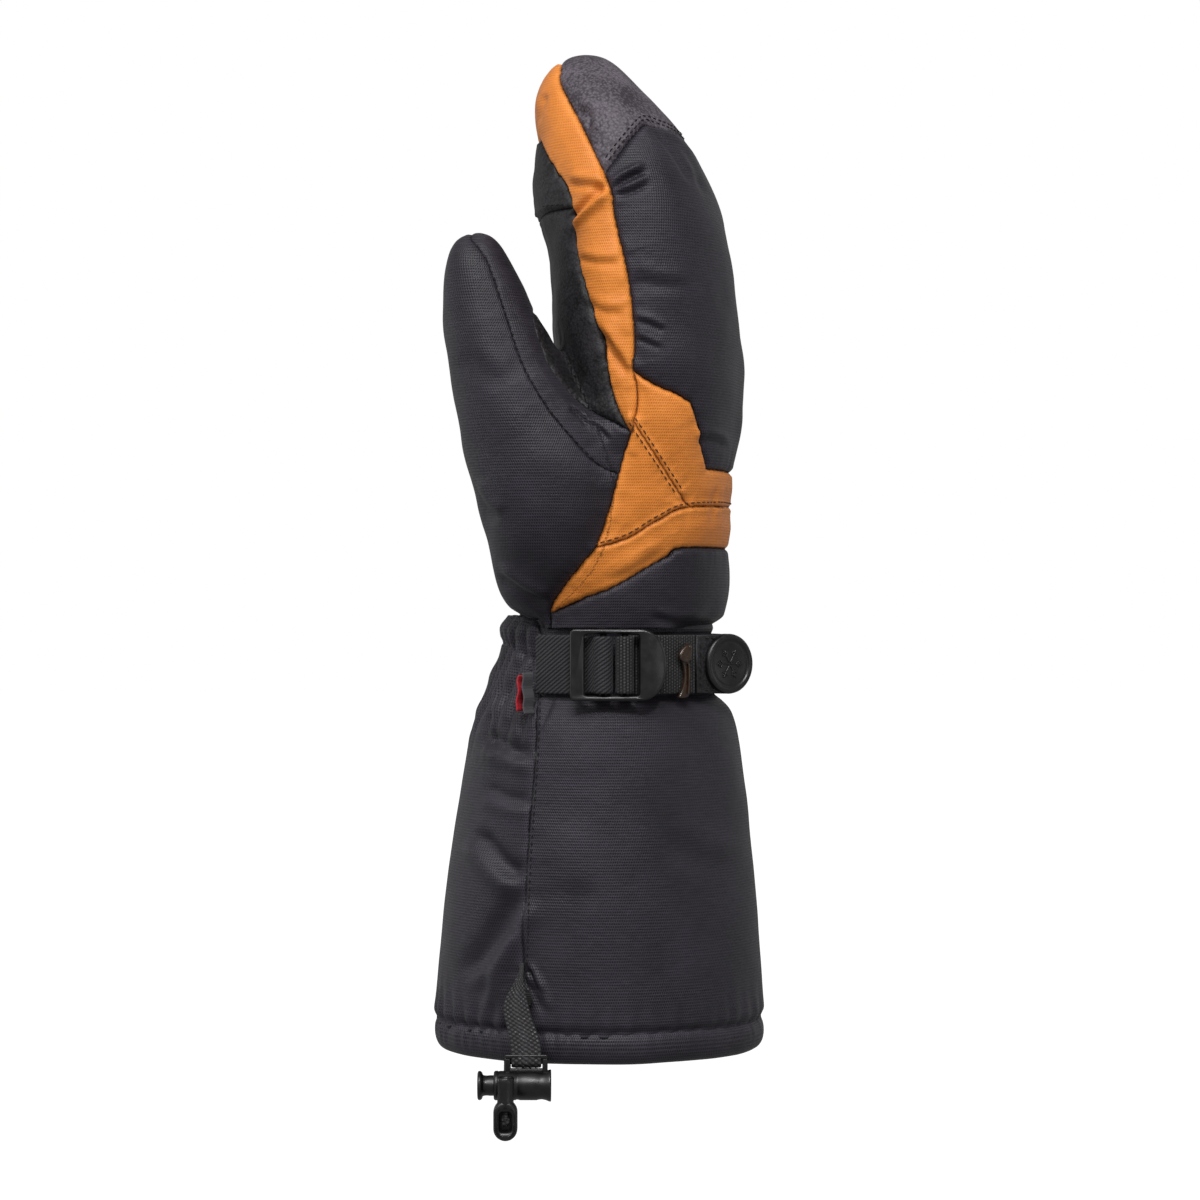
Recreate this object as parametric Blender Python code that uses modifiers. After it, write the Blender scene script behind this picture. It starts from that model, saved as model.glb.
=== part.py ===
"""Right-hand gauntlet ski mitten: a sewn outer shell over a membrane, insulation and a fleece lining.

The frame: +Z runs from the cuff's mouth to the fingertips, +X is the side of the back of the hand, -X the palm,
and -Y the side of the thumb. The origin is the middle of the cuff's mouth. All numbers are millimetres, and
MM turns them into Blender's metres.
"""

import math

import bmesh
import bpy
from mathutils import Matrix, Vector

MM = 0.001

# Driving dimensions
CLEARANCE = 0.4  # gap between two sewn neighbours, and between a strap and what it lies on
SHELL = 1.2  # outer shell's cloth and its foam backing
MEMBRANE = (2.7, 3.4)  # depths below the outer surface: from, to
INSULATION = (4.5, 7.2)
LINING = (8.4, 9.5)
CUFF_INSULATION = (2.8, 4.2)
CUFF_LINING = (5.3, 6.3)
WRIST_ELASTIC = (1.7, 2.15)
HAND_BOTTOM = 150.5  # the wrist seam, where the hand is sewn to the cuff
HEM_TOP = 11.5
STRAP_RADIUS = 41.7  # inner radius of the wrist strap
STRAP_CENTRE = Vector((1.8, 0.0, 0.0))
STRAP_LOW, STRAP_HIGH = 127.4, 148.0
WEBBING = 1.0  # thickness of the webbing and of the elastic
BUCKLE_CENTRE = Vector((6.8, -45.4, 137.7))
LOCK_CENTRE = Vector((-26.5, -55.2, -6.2))
LOCK_RADIUS = 5.0
LOCK_TRAVEL = 3.5  # how far the plunger can be pressed
CORD_RADIUS = 1.3
CORD_END_Y = LOCK_CENTRE.y - LOCK_RADIUS - 3.6
CORD_X = -31.8  # where the drawcord crosses the lock
CORD_Y = -40.4  # where it leaves the hem

HAND_SIDES, THUMB_SIDES, LINER_SIDES = 26, 16, 16

# Hand: height, palm edge, back edge, half width across the fingers
HAND = [
    (354.4, -6.8, -6.8, 0.0),
    (352.6, -14.5, 2.0, 15.0),
    (347.0, -19.4, 9.5, 25.0),
    (338.0, -22.2, 18.5, 35.5),
    (326.0, -22.2, 29.5, 44.0),
    (312.0, -21.8, 36.8, 50.0),
    (298.0, -20.4, 42.4, 53.5),
    (281.0, -17.2, 46.4, 56.0),
    (262.0, -16.6, 49.0, 57.0),
    (243.0, -15.0, 50.4, 56.5),
    (225.0, -14.5, 49.6, 55.0),
    (205.0, -17.0, 47.6, 52.0),
    (180.0, -23.0, 46.6, 47.0),
    (162.0, -28.5, 44.8, 43.0),
    (HAND_BOTTOM, -32.0, 41.5, 40.0),
]
# Thumb: height, outer edge, inner edge, middle across the fingers, half width there
THUMB = [
    (288.8, -43.5, -43.5, -32.0, 0.0),
    (286.6, -49.0, -37.5, -32.0, 7.0),
    (280.5, -52.0, -32.2, -32.0, 11.5),
    (270.0, -53.2, -26.5, -32.0, 14.8),
    (256.0, -53.0, -19.2, -31.5, 18.0),
    (240.0, -51.2, -10.0, -31.0, 21.5),
    (222.0, -48.2, 4.0, -30.0, 25.0),
    (205.0, -45.2, 13.0, -28.0, 28.5),
    (188.0, -40.8, 12.0, -25.5, 29.0),
    (172.0, -36.8, 6.0, -22.5, 26.0),
    (160.0, -32.6, -2.0, -18.0, 21.0),
    (153.0, -27.0, -8.0, -16.0, 14.0),
]
# Cuff: height, palm edge, back edge, half width
CUFF = [
    (HAND_BOTTOM - CLEARANCE, -31.8, 40.6, 39.0),
    (143.0, -34.4, 40.6, 39.2),
    (135.0, -37.4, 40.8, 39.6),
    (127.0, -40.4, 41.6, 40.3),
    (120.0, -43.6, 47.6, 43.2),
    (108.0, -46.8, 50.6, 45.2),
    (92.0, -49.6, 52.8, 47.0),
    (66.0, -53.4, 54.8, 49.4),
    (38.0, -56.4, 57.0, 51.2),
    (HEM_TOP + CLEARANCE, -58.4, 58.8, 52.6),
]
HAND_POWER, THUMB_POWER, CUFF_POWER = 2.3, 2.2, 2.0

# Seams in side elevation, as (x, z). Each is cut straight through the shell, across the fingers.
GUSSET_BACK = [
    (-13, 360), (-13.5, 351), (-14, 343), (-11, 335), (-6.5, 325), (-1.5, 314), (2, 306.5), (4.5, 299),
    (4.5, 295), (6.5, 285), (9, 275), (11, 262), (12, 251), (11.5, 238.5),
]
GUSSET_PALM = [
    (-30, 328), (-21, 323.5), (-14.5, 309), (-11, 300.5), (-9.5, 291), (-7.5, 278), (-5, 268.5),
    (-2.5, 259), (1, 248), (3, 234), (6.5, 225), (11.5, 216),
]
GUSSET_END = [(11.5, 239), (12.8, 233), (13.2, 228), (12.0, 222), (9.0, 212)]
BAND_TOP = [(11, 239), (19, 234), (26.5, 231), (32, 228), (34.8, 220), (38, 205.5), (60, 205.5)]
BAND_DIAGONAL = [(11, 222.5), (19, 210.5), (28, 197), (32.5, 192)]
BAND_CHEVRON = [(-2.0, 177.8), (3.0, 179.2), (11, 182), (21, 188), (32, 192.4), (60, 193.4)]
BAND_BOTTOM = [
    (-18.2, 154.8), (-14, 156.5), (-4, 161), (5, 164.5), (15, 170), (24, 175), (30, 178.2), (60, 178.2),
]
BAND_PALM = [
    (11.5, 219), (8.5, 210.5), (6.5, 201), (3, 188), (-1, 178), (-10.5, 166), (-16.8, 157), (-18.5, 149),
]
CAP_EDGE = [(0, 305), (8.5, 316.5), (16, 326), (21, 325), (50, 319)]
THUMB_SEAM = [
    (-44.5, 300), (-44.5, 286), (-38.5, 277.5), (-32.5, 260), (-26, 241), (-18, 227), (-9, 216), (0, 207),
    (20, 198),
]
THUMB_PAD_SEAM = [(-20.5, 268), (-22.5, 258), (-19, 247), (-15, 239), (-9, 232), (0, 222), (20, 212)]
CUFF_SIDE = [(-19, 160), (-20.5, 149), (-21.5, 128), (-22.5, 104), (-25, 66), (-27, 0)]

COLOURS = {
    "shell": (0.020, 0.019, 0.024),
    "orange": (0.55, 0.20, 0.035),
    "leather": (0.016, 0.017, 0.018),
    "lining": (0.030, 0.030, 0.033),
    "plastic": (0.010, 0.010, 0.011),
    "webbing": (0.012, 0.012, 0.012),
    "red": (0.60, 0.03, 0.03),
    "smoke": (0.030, 0.015, 0.008),
    "steel": (0.50, 0.45, 0.38),
}
ROUGHNESS = {"plastic": 0.35, "leather": 0.5, "smoke": 0.3, "steel": 0.3}


# ---------------------------------------------------------------- scene and materials
def clear_scene():
    for old in list(bpy.data.objects):
        bpy.data.objects.remove(old, do_unlink=True)


def new_collection(name):
    made = bpy.data.collections.new(name)
    bpy.context.scene.collection.children.link(made)
    return made


def material(slot):
    found = bpy.data.materials.get(slot)
    if found:
        return found
    made = bpy.data.materials.new(slot)
    made.use_nodes = True
    shader = made.node_tree.nodes["Principled BSDF"]
    shader.inputs["Base Color"].default_value = (*COLOURS[slot], 1.0)
    shader.inputs["Roughness"].default_value = ROUGHNESS.get(slot, 0.85)
    shader.inputs["Metallic"].default_value = 1.0 if slot == "steel" else 0.0
    return made


def add_object(name, mesh, slot):
    made = bpy.data.objects.new(name, mesh)
    MITTEN.objects.link(made)
    if slot:
        mesh.materials.clear()
        mesh.materials.append(material(slot))
    return made


def mesh_from(name, bm):
    mesh = bpy.data.meshes.new(name)
    bmesh.ops.recalc_face_normals(bm, faces=bm.faces)
    bm.to_mesh(mesh)
    bm.free()
    return mesh


def evaluated_mesh(obj):
    bpy.context.view_layer.update()
    graph = bpy.context.evaluated_depsgraph_get()
    return bpy.data.meshes.new_from_object(obj.evaluated_get(graph), depsgraph=graph)


def bake(obj):
    """Applies the object's modifiers."""
    mesh = evaluated_mesh(obj)
    obj.modifiers.clear()
    obj.data = mesh
    return obj


def triangulate(obj):
    bm = bmesh.new()
    bm.from_mesh(obj.data)
    bmesh.ops.triangulate(bm, faces=bm.faces)
    bm.to_mesh(obj.data)
    bm.free()


def combine(obj, other, operation, keep=False):
    """Joins, cuts or intersects obj with other, which is then removed unless it is kept."""
    triangulate(obj)
    triangulate(other)
    step = obj.modifiers.new("combine", "BOOLEAN")
    step.operation = operation
    step.solver = "EXACT"
    step.object = other
    bake(obj)
    if not keep:
        bpy.data.objects.remove(other, do_unlink=True)
    return obj


def tidy_faces(obj, degrees):
    """Merges the splinters that cutting leaves in flat places."""
    bm = bmesh.new()
    bm.from_mesh(obj.data)
    limit = math.radians(degrees)
    bmesh.ops.dissolve_limit(bm, angle_limit=limit, verts=bm.verts, edges=bm.edges)
    bmesh.ops.triangulate(bm, faces=bm.faces)
    bm.to_mesh(obj.data)
    bm.free()


def solid(obj, name, slot):
    """Names a finished working object as a node and gives it its material."""
    tidy_faces(obj, 0.4)
    obj.name = name
    obj.data.name = name
    obj.data.materials.clear()
    obj.data.materials.append(material(slot))
    for face in obj.data.polygons:
        face.material_index = 0
    return obj


# ---------------------------------------------------------------- basic shapes
def box(name, low, high, bevel=0.0, slot=None):
    bm = bmesh.new()
    size = [(h - l) * MM for l, h in zip(low, high)]
    middle = [(h + l) / 2 * MM for l, h in zip(low, high)]
    bmesh.ops.create_cube(bm, size=1.0, matrix=Matrix.Translation(middle) @ Matrix.Diagonal((*size, 1.0)))
    obj = add_object(name, mesh_from(name, bm), slot)
    if bevel:
        edge = obj.modifiers.new("edge", "BEVEL")
        edge.width = bevel * MM
        edge.segments = 2
        bake(obj)
    return obj


def rod(name, start, end, radius, end_radius=None, sides=20, slot=None):
    """A cylinder, or a cone, between two points."""
    start, end = Vector(start), Vector(end)
    along = end - start
    turn = along.to_track_quat("Z", "Y").to_matrix().to_4x4()
    place = Matrix.Translation((start + end) / 2 * MM) @ turn
    bm = bmesh.new()
    second = radius if end_radius is None else end_radius
    bmesh.ops.create_cone(
        bm, cap_ends=True, segments=sides, radius1=radius * MM, radius2=second * MM,
        depth=along.length * MM, matrix=place,
    )
    return add_object(name, mesh_from(name, bm), slot)


def extrude_outline(name, outline, low, high, axis, slot=None):
    """A closed outline extruded along an axis. Its two numbers are the other two axes, in X, Y, Z order."""
    bm = bmesh.new()
    others = [k for k in range(3) if k != axis]
    corners = []
    for a, b in outline:
        place = [0.0, 0.0, 0.0]
        place[others[0]], place[others[1]], place[axis] = a * MM, b * MM, low * MM
        corners.append(bm.verts.new(place))
    face = bm.faces.new(corners)
    made = bmesh.ops.extrude_face_region(bm, geom=[face])
    step = Vector((0.0, 0.0, 0.0))
    step[axis] = (high - low) * MM
    bmesh.ops.translate(bm, vec=step, verts=[v for v in made["geom"] if isinstance(v, bmesh.types.BMVert)])
    return add_object(name, mesh_from(name, bm), slot)


def thicken(path, thickness):
    """The closed outline of a strip of even thickness along an open path of (a, b) points."""
    points = [Vector(p) for p in path]
    left, right = [], []
    for i, here in enumerate(points):
        before = points[max(i - 1, 0)]
        after = points[min(i + 1, len(points) - 1)]
        along_in = (here - before) if i else (after - here)
        along_out = (after - here) if i < len(points) - 1 else along_in
        side = (along_in.normalized() + along_out.normalized()).normalized().orthogonal()
        stretch = 1 / max(side.dot(along_in.normalized().orthogonal()), 0.5)
        left.append(here + side * thickness / 2 * stretch)
        right.append(here - side * thickness / 2 * stretch)
    return left + right[::-1]


def strip(name, path, thickness, low, high, axis=2, slot="webbing"):
    """A flat strap: a path seen edge on, thickened, and as wide as from low to high along the axis."""
    return extrude_outline(name, thicken(path, thickness), low, high, axis, slot)


def tube(name, points, radius, resolution=2, slot="webbing"):
    """A round cord or wire through the points, with closed ends, as a mesh."""
    curve = bpy.data.curves.new(name, "CURVE")
    curve.dimensions = "3D"
    curve.bevel_depth = radius * MM
    curve.bevel_resolution = resolution
    curve.use_fill_caps = True
    spline = curve.splines.new("POLY")
    spline.points.add(len(points) - 1)
    for place, point in zip(spline.points, points):
        place.co = (*(Vector(point) * MM), 1.0)
    obj = add_object(name, curve, None)
    mesh = evaluated_mesh(obj)
    bpy.data.objects.remove(obj, do_unlink=True)
    bm = bmesh.new()
    bm.from_mesh(mesh)
    bmesh.ops.remove_doubles(bm, verts=bm.verts, dist=0.00001)
    return add_object(name, mesh_from(name, bm), slot)


def smooth_row(table, place):
    """A row of numbers read from a table along a smooth curve through its rows."""
    last = len(table) - 1
    i = min(int(place), last - 1)
    t = place - i
    rows = [table[min(max(i + k, 0), last)] for k in (-1, 0, 1, 2)]
    row = []
    for a, b, c, d in zip(*rows):
        bend = (2 * a - 5 * b + 4 * c - d) * t * t + (-a + 3 * b - 3 * c + d) * t**3
        row.append(0.5 * (2 * b + (c - a) * t + bend))
    return row


def arc(centre, radius, start, end, count):
    """Points on a circle. Angles are in degrees from -Y towards +X."""
    points = []
    for k in range(count + 1):
        angle = math.radians(start + (end - start) * k / count)
        points.append((centre[0] + radius * math.sin(angle), centre[1] - radius * math.cos(angle)))
    return points


# ---------------------------------------------------------------- the soft bodies
def section(row, inset, widest, power, sides):
    """One level ring of a soft body. The inset narrows it in the share that it narrows the widest ring."""
    if len(row) == 4:
        z, left, right, half_y = row
        middle_y = 0.0
    else:
        z, left, right, middle_y, half_y = row
    middle_x = (left + right) / 2
    half_x = (right - left) / 2 * (1 - inset / widest[0])
    half_y = half_y * (1 - inset / widest[1])
    ring = []
    for k in range(sides):
        angle = 2 * math.pi * (k + 0.5) / sides
        c, s = math.cos(angle), math.sin(angle)
        x = middle_x + half_x * math.copysign(abs(c) ** (2 / power), c)
        y = middle_y + half_y * math.copysign(abs(s) ** (2 / power), s)
        ring.append(Vector((x, y, z)))
    return ring


def loft(name, table, inset, power, sides, widest, levels, below=0.0, lift=0.0):
    """A closed body through a table's rings, inset from its surface, and lengthened below its last ring."""
    top, bottom = table[0][0], table[-1][0]
    closed_tip = table[0][1] == table[0][2]
    shrink = 1 - (inset + lift) / (top - bottom) if closed_tip else 1.0
    rows = [smooth_row(table, (len(table) - 1) * k / levels) for k in range(levels + 1)]
    for row in rows:
        row[0] = bottom + lift + (row[0] - bottom) * shrink
    if below:
        rows.append([rows[-1][0] - below, *rows[-1][1:]])
    if below and not closed_tip:
        rows.insert(0, [rows[0][0] + below, *rows[0][1:]])
    bm = bmesh.new()
    rings = []
    for row in rows[1:] if closed_tip else rows:
        rings.append([bm.verts.new(p * MM) for p in section(row, inset, widest, power, sides)])
    for upper, lower in zip(rings, rings[1:]):
        for k in range(sides):
            after = (k + 1) % sides
            bm.faces.new((upper[k], upper[after], lower[after], lower[k]))
    if closed_tip:
        middle_y = rows[0][3] if len(rows[0]) == 5 else 0.0
        pole = bm.verts.new(Vector((rows[0][1], middle_y, rows[0][0])) * MM)
        for k in range(sides):
            bm.faces.new((pole, rings[0][(k + 1) % sides], rings[0][k]))
    else:
        bm.faces.new(rings[0])
    bm.faces.new(rings[-1])
    return add_object(name, mesh_from(name, bm), None)


def hand(inset, below=0.0, sides=HAND_SIDES, levels=14):
    return loft("hand", HAND, inset, HAND_POWER, sides, (33.0, 50.0), levels, below)


def thumb(inset, sides=THUMB_SIDES, levels=11):
    return loft("thumb", THUMB, inset, THUMB_POWER, sides, (22.0, 25.0), levels, lift=max(inset, 0.0))


def cuff(inset, below=0.0, levels=9, sides=HAND_SIDES):
    return loft("cuff", CUFF, inset, CUFF_POWER, sides, (45.0, 43.0), levels, below)


def seam_blade(seam, low=-80.0, high=80.0):
    """A thin wall along a seam, which parts two panels by the clearance."""
    return extrude_outline("blade", thicken(seam, CLEARANCE), low, high, axis=1)


def part_panels(shell, seams, panels):
    """Cuts a shell along its seams, one loose piece at a time. Each panel takes the piece nearest its seed."""
    pieces = [shell]
    for seam, low, high in seams:
        blade = seam_blade(seam, low, high)
        whole, pieces = pieces, []
        for piece in whole:
            if boxes_touch(piece, blade):
                combine(piece, blade, "DIFFERENCE", keep=True)
                pieces += loose_pieces(piece)
            else:
                pieces.append(piece)
        bpy.data.objects.remove(blade, do_unlink=True)
    for name, seed, slot in panels:
        nearest = min(pieces, key=lambda piece: distance_to(piece, seed))
        pieces.remove(nearest)
        solid(nearest, name, slot)
    for offcut in pieces:
        bpy.data.objects.remove(offcut, do_unlink=True)


def bounds(obj):
    places = [vert.co for vert in obj.data.vertices]
    return [(min(p[k] for p in places), max(p[k] for p in places)) for k in range(3)]


def boxes_touch(one, other):
    pairs = zip(bounds(one), bounds(other))
    return all(a[0] < b[1] and b[0] < a[1] for a, b in pairs)


def loose_pieces(obj):
    """Splits an object into one object for each set of faces that hang together."""
    bm = bmesh.new()
    bm.from_mesh(obj.data)
    bm.faces.ensure_lookup_table()
    left = set(range(len(bm.faces)))
    made = []
    while left:
        todo = [min(left)]
        left.discard(todo[0])
        piece = set(todo)
        while todo:
            for edge in bm.faces[todo.pop()].edges:
                for face in edge.link_faces:
                    if face.index in left:
                        left.discard(face.index)
                        piece.add(face.index)
                        todo.append(face.index)
        made.append(copy_faces(bm, sorted(piece)))
    bm.free()
    bpy.data.objects.remove(obj, do_unlink=True)
    return made


def copy_faces(bm, indices):
    made = bmesh.new()
    corners = {}
    for k in indices:
        loop = []
        for vert in bm.faces[k].verts:
            if vert.index not in corners:
                corners[vert.index] = made.verts.new(vert.co)
            loop.append(corners[vert.index])
        made.faces.new(loop)
    return add_object("piece", mesh_from("piece", made), None)


def distance_to(obj, seed):
    goal = Vector(seed) * MM
    return min((face.center - goal).length for face in obj.data.polygons)


def make_hand_panels():
    shell = hand(0)
    combine(shell, hand(SHELL, below=8), "DIFFERENCE")
    combine(shell, thumb(-CLEARANCE), "DIFFERENCE")
    both = (-80.0, 80.0)
    seams = [
        (GUSSET_BACK, *both), (GUSSET_PALM, *both), (GUSSET_END, *both), (BAND_TOP, *both),
        (BAND_DIAGONAL, *both), (BAND_CHEVRON, *both), (BAND_BOTTOM, *both), (BAND_PALM, *both),
        (CAP_EDGE, *both),
    ]
    panels = [
        ("palm_panel", (-16, 20, 262), "leather"),
        ("finger_gusset", (2, -56, 270), "orange"),
        ("back_panel", (49, 0, 262), "shell"),
        ("fingertip_cap", (8, 0, 347), "leather"),
        ("knuckle_band_thumb_side", (16, -52, 205), "orange"),
        ("knuckle_band_little_side", (16, 52, 205), "orange"),
        ("knuckle_band_back", (47, 0, 200), "orange"),
        ("knuckle_band_lower", (46, 0, 186), "orange"),
        ("wrist_back_panel", (44, 0, 165), "shell"),
    ]
    part_panels(shell, seams, panels)


def make_thumb_panels():
    shell = thumb(0)
    combine(shell, thumb(SHELL), "DIFFERENCE")
    combine(shell, hand(-CLEARANCE, below=8), "DIFFERENCE")
    panels = [
        ("thumb_outer_panel", (-52, -31, 256), "shell"),
        ("thumb_inner_panel", (-28, -31, 266), "shell"),
        ("thumb_pad", (-19, -31, 252), "leather"),
    ]
    part_panels(shell, [(THUMB_SEAM, -80.0, 80.0), (THUMB_PAD_SEAM, -80.0, 80.0)], panels)


def make_palm_patch():
    """The wear patch laid over the fingertips on the palm side."""
    patch = hand(-SHELL - 0.2)
    combine(patch, hand(-0.4, below=8), "DIFFERENCE")
    outline = [(-60, 298), (-10.5, 296), (-12, 301.5), (-16, 310), (-22.5, 322), (-60, 326)]
    combine(patch, extrude_outline("bound", outline, -80, 80, axis=1), "INTERSECT")
    solid(patch, "palm_tip_patch", "leather")


def make_inner_layers():
    """Membrane, insulation and lining, each one bag with a thumb, open at the wrist."""
    layers = [
        ("membrane_insert", MEMBRANE, "lining"),
        ("insulation_hand", INSULATION, "lining"),
        ("fleece_lining", LINING, "lining"),
    ]
    for name, (outside, inside), slot in layers:
        layer = hand(outside, 0.0, LINER_SIDES, 10)
        combine(layer, thumb(outside, 12, 8), "UNION")
        hollow = hand(inside, 8.0, LINER_SIDES, 10)
        combine(hollow, thumb(inside, 12, 8), "UNION")
        combine(layer, hollow, "DIFFERENCE")
        solid(layer, name, slot)


def make_cuff():
    shell = cuff(0)
    combine(shell, cuff(SHELL, below=8), "DIFFERENCE")
    slit = box("slit", (-29.0, -60.0, 29.5), (-24.2, -30.0, 35.5))
    combine(shell, slit, "DIFFERENCE")
    panels = [
        ("cuff_palm_panel", (-56, 0, 40), "shell"),
        ("cuff_back_panel", (57, 0, 40), "shell"),
    ]
    part_panels(shell, [(CUFF_SIDE, -80.0, 80.0)], panels)
    for name, (outside, inside) in (("cuff_insulation", CUFF_INSULATION), ("cuff_lining", CUFF_LINING)):
        layer = cuff(outside, 0.0, 9, LINER_SIDES)
        combine(layer, cuff(inside, 8.0, 9, LINER_SIDES), "DIFFERENCE")
        solid(layer, name, "lining")


def make_wrist_elastic():
    """The flat elastic that gathers the palm side of the wrist, between the shell and the insulation."""
    outside, inside = WRIST_ELASTIC
    ring = cuff(outside)
    combine(ring, cuff(inside, below=8), "DIFFERENCE")
    combine(ring, box("span", (-60.0, -60.0, 137.2), (-26.0, 60.0, 142.6)), "INTERSECT")
    solid(ring, "wrist_elastic", "webbing")


HEM_HALF = (59.8, 53.6)
HEM_MIDDLE_X = 0.2


def make_hem():
    """The rolled hem: a channel folded from the shell cloth, open at its top, turned round the mouth."""
    outer = [(-1.4, HEM_TOP), (0.0, 6.5), (-0.8, 2.6), (-3.0, 0.5), (-5.5, 0.0), (-7.4, 1.6)]
    inner = [(-8.0, 6.0), (-8.0, HEM_TOP), (-7.0, HEM_TOP), (-7.0, 6.0), (-6.0, 2.0)]
    back = [(-3.4, 1.7), (-1.8, 3.6), (-1.2, 6.5), (-2.4, HEM_TOP)]
    profile = outer + inner + back
    bm = bmesh.new()
    corners = [bm.verts.new(((HEM_HALF[0] + x) * MM, 0.0, z * MM)) for x, z in profile]
    for k, corner in enumerate(corners):
        bm.edges.new((corner, corners[(k + 1) % len(corners)]))
    mesh = bpy.data.meshes.new("hem_band")
    bm.to_mesh(mesh)
    bm.free()
    hem = add_object("hem_band", mesh, "shell")
    turn = hem.modifiers.new("turn", "SCREW")
    turn.steps = turn.render_steps = 26
    turn.use_merge_vertices = True
    turn.merge_threshold = 0.00001
    turn.use_normal_calculate = True
    hem.scale.y = HEM_HALF[1] / HEM_HALF[0]
    hem.location.x = HEM_MIDDLE_X * MM
    bake(hem)
    bm = bmesh.new()
    bm.from_mesh(hem.data)
    bmesh.ops.recalc_face_normals(bm, faces=bm.faces)
    bm.to_mesh(hem.data)
    bm.free()
    hem.data.transform(hem.matrix_world)
    hem.matrix_world = Matrix.Identity(4)
    eyelet = rod("eyelet", (CORD_X, CORD_Y, 6.0), (CORD_X, CORD_Y, -6.0), 2.0, sides=12)
    combine(hem, eyelet, "DIFFERENCE")
    solid(hem, "hem_band", "shell")


def make_hem_drawcord():
    """The elastic cord in the hem: nearly a full turn, both ends stopping over the eyelet."""
    gap = math.radians(4.0)
    exit_angle = math.asin((CORD_X - HEM_MIDDLE_X) / (HEM_HALF[0] - 4.4))
    points = []
    count = 34
    for k in range(count + 1):
        angle = exit_angle + gap + (2 * math.pi - 2 * gap) * k / count
        x = HEM_MIDDLE_X + (HEM_HALF[0] - 4.4) * math.sin(angle)
        y = -(HEM_HALF[1] - 4.2) * math.cos(angle)
        points.append((x, y, 6.6))
    tube("hem_drawcord", points, CORD_RADIUS, 1)


# ---------------------------------------------------------------- wrist strap and buckle
def strap_arc(layer, start, end, count):
    """A path round the wrist. Layer 0 lies on the cuff, and layer 1 on that."""
    radius = STRAP_RADIUS + WEBBING / 2 + layer * (WEBBING + CLEARANCE)
    return arc(STRAP_CENTRE, radius, start, end, count)


def make_strap():
    front = BUCKLE_CENTRE.y
    elastic = strap_arc(0, -34, -13, 6)
    strip("elastic_band", elastic, WEBBING, STRAP_LOW, STRAP_HIGH)
    loop = [(-7.2, front + 4.1), (-4.4, front + 3.6), (-2.6, front + 1.9)]
    loop += arc((1.4, front), 2.8, -90, 90, 6)
    loop += [(4.1, front + 1.8), (1.4, front + 2.5)]
    strip("elastic_loop", loop, WEBBING, STRAP_LOW + 0.4, STRAP_HIGH - 0.4)
    strip("webbing_strap", strap_arc(0, 7.5, 148, 26), WEBBING, STRAP_LOW, STRAP_HIGH)
    bight = [(6.3, front + 1.7)] + arc((8.9, front - 0.1), 2.6, -90, 90, 8) + [(11.5, front + 1.7)]
    strip("webbing_bight", bight, WEBBING, STRAP_LOW + 0.4, STRAP_HIGH - 0.4)
    tail = strap_arc(1, 14, 38, 8)
    along = Vector((math.cos(math.radians(38)), math.sin(math.radians(38))))
    tail.append(tuple(Vector(tail[-1]) + along * 6.0))
    strip("strap_tail", tail, WEBBING, STRAP_LOW, STRAP_HIGH)
    return Vector(tail[-1]), along


def make_badge(start, along):
    """The pull tab: a stitched leather tongue with a round end, and a plain moulded disc on it."""
    outward = Vector((along.y, -along.x))
    length, half = 25.0, 10.6
    turn = Matrix((
        (along.x, outward.x, 0.0, start.x * MM),
        (along.y, outward.y, 0.0, start.y * MM),
        (0.0, 0.0, 1.0, (STRAP_LOW + STRAP_HIGH) / 2 * MM),
        (0.0, 0.0, 0.0, 1.0),
    ))
    outline = [(0.6, -half + 0.4), (0.6, half - 0.4)]
    for k in range(13):
        angle = math.radians(90 - 15 * k)
        outline.append((length - half + half * math.cos(angle), half * math.sin(angle)))
    tab = extrude_outline("badge_tab", outline, -0.8, 0.8, axis=1, slot="leather")
    tab.matrix_world = turn
    disc = rod("badge_disc", (length - half, 1.2, 0), (length - half, 3.0, 0), half, half - 0.9, 28, "plastic")
    dish = rod("dish", (length - half, 2.3, 0), (length - half, 4.0, 0), half - 2.6, sides=28)
    combine(disc, dish, "DIFFERENCE")
    disc.matrix_world = turn
    return turn


def make_buckle():
    """A ladder-lock frame: a side bar, two inner bars and a rounded lifting tab."""
    x, y, z = BUCKLE_CENTRE
    left, tab_start, tab_end = x - 16.8, x + 7.2, x + 16.6
    half = 12.5
    outline = [(left + 1.2, z - half), (left, z - half + 1.2), (left, z + half - 1.2), (left + 1.2, z + half)]
    outline += [(tab_start, z + half)]
    for k in range(1, 12):
        angle = math.radians(90 - 15 * k)
        outline.append((tab_start + (tab_end - tab_start) * math.cos(angle), z + half * math.sin(angle)))
    outline += [(tab_start, z - half)]
    frame = extrude_outline("buckle_frame", outline, y - 1.7, y + 1.3, axis=1)
    edge = frame.modifiers.new("edge", "BEVEL")
    edge.width = 0.7 * MM
    edge.segments = 2
    edge.limit_method = "ANGLE"
    bake(frame)
    window = (z - half + 1.8, z + half - 1.8)
    combine(frame, box("slot", (-5.0, y - 9, window[0]), (13.9, y + 9, window[1])), "DIFFERENCE")
    for name, low, high in (("elastic bar", 0.1, 2.7), ("webbing bar", 7.6, 10.2)):
        bar = box(name, (low, y - 1.1, z - half + 0.9), (high, y + 1.0, z + half - 0.9), 0.4)
        combine(frame, bar, "UNION")
    solid(frame, "buckle_frame", "plastic")


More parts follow.
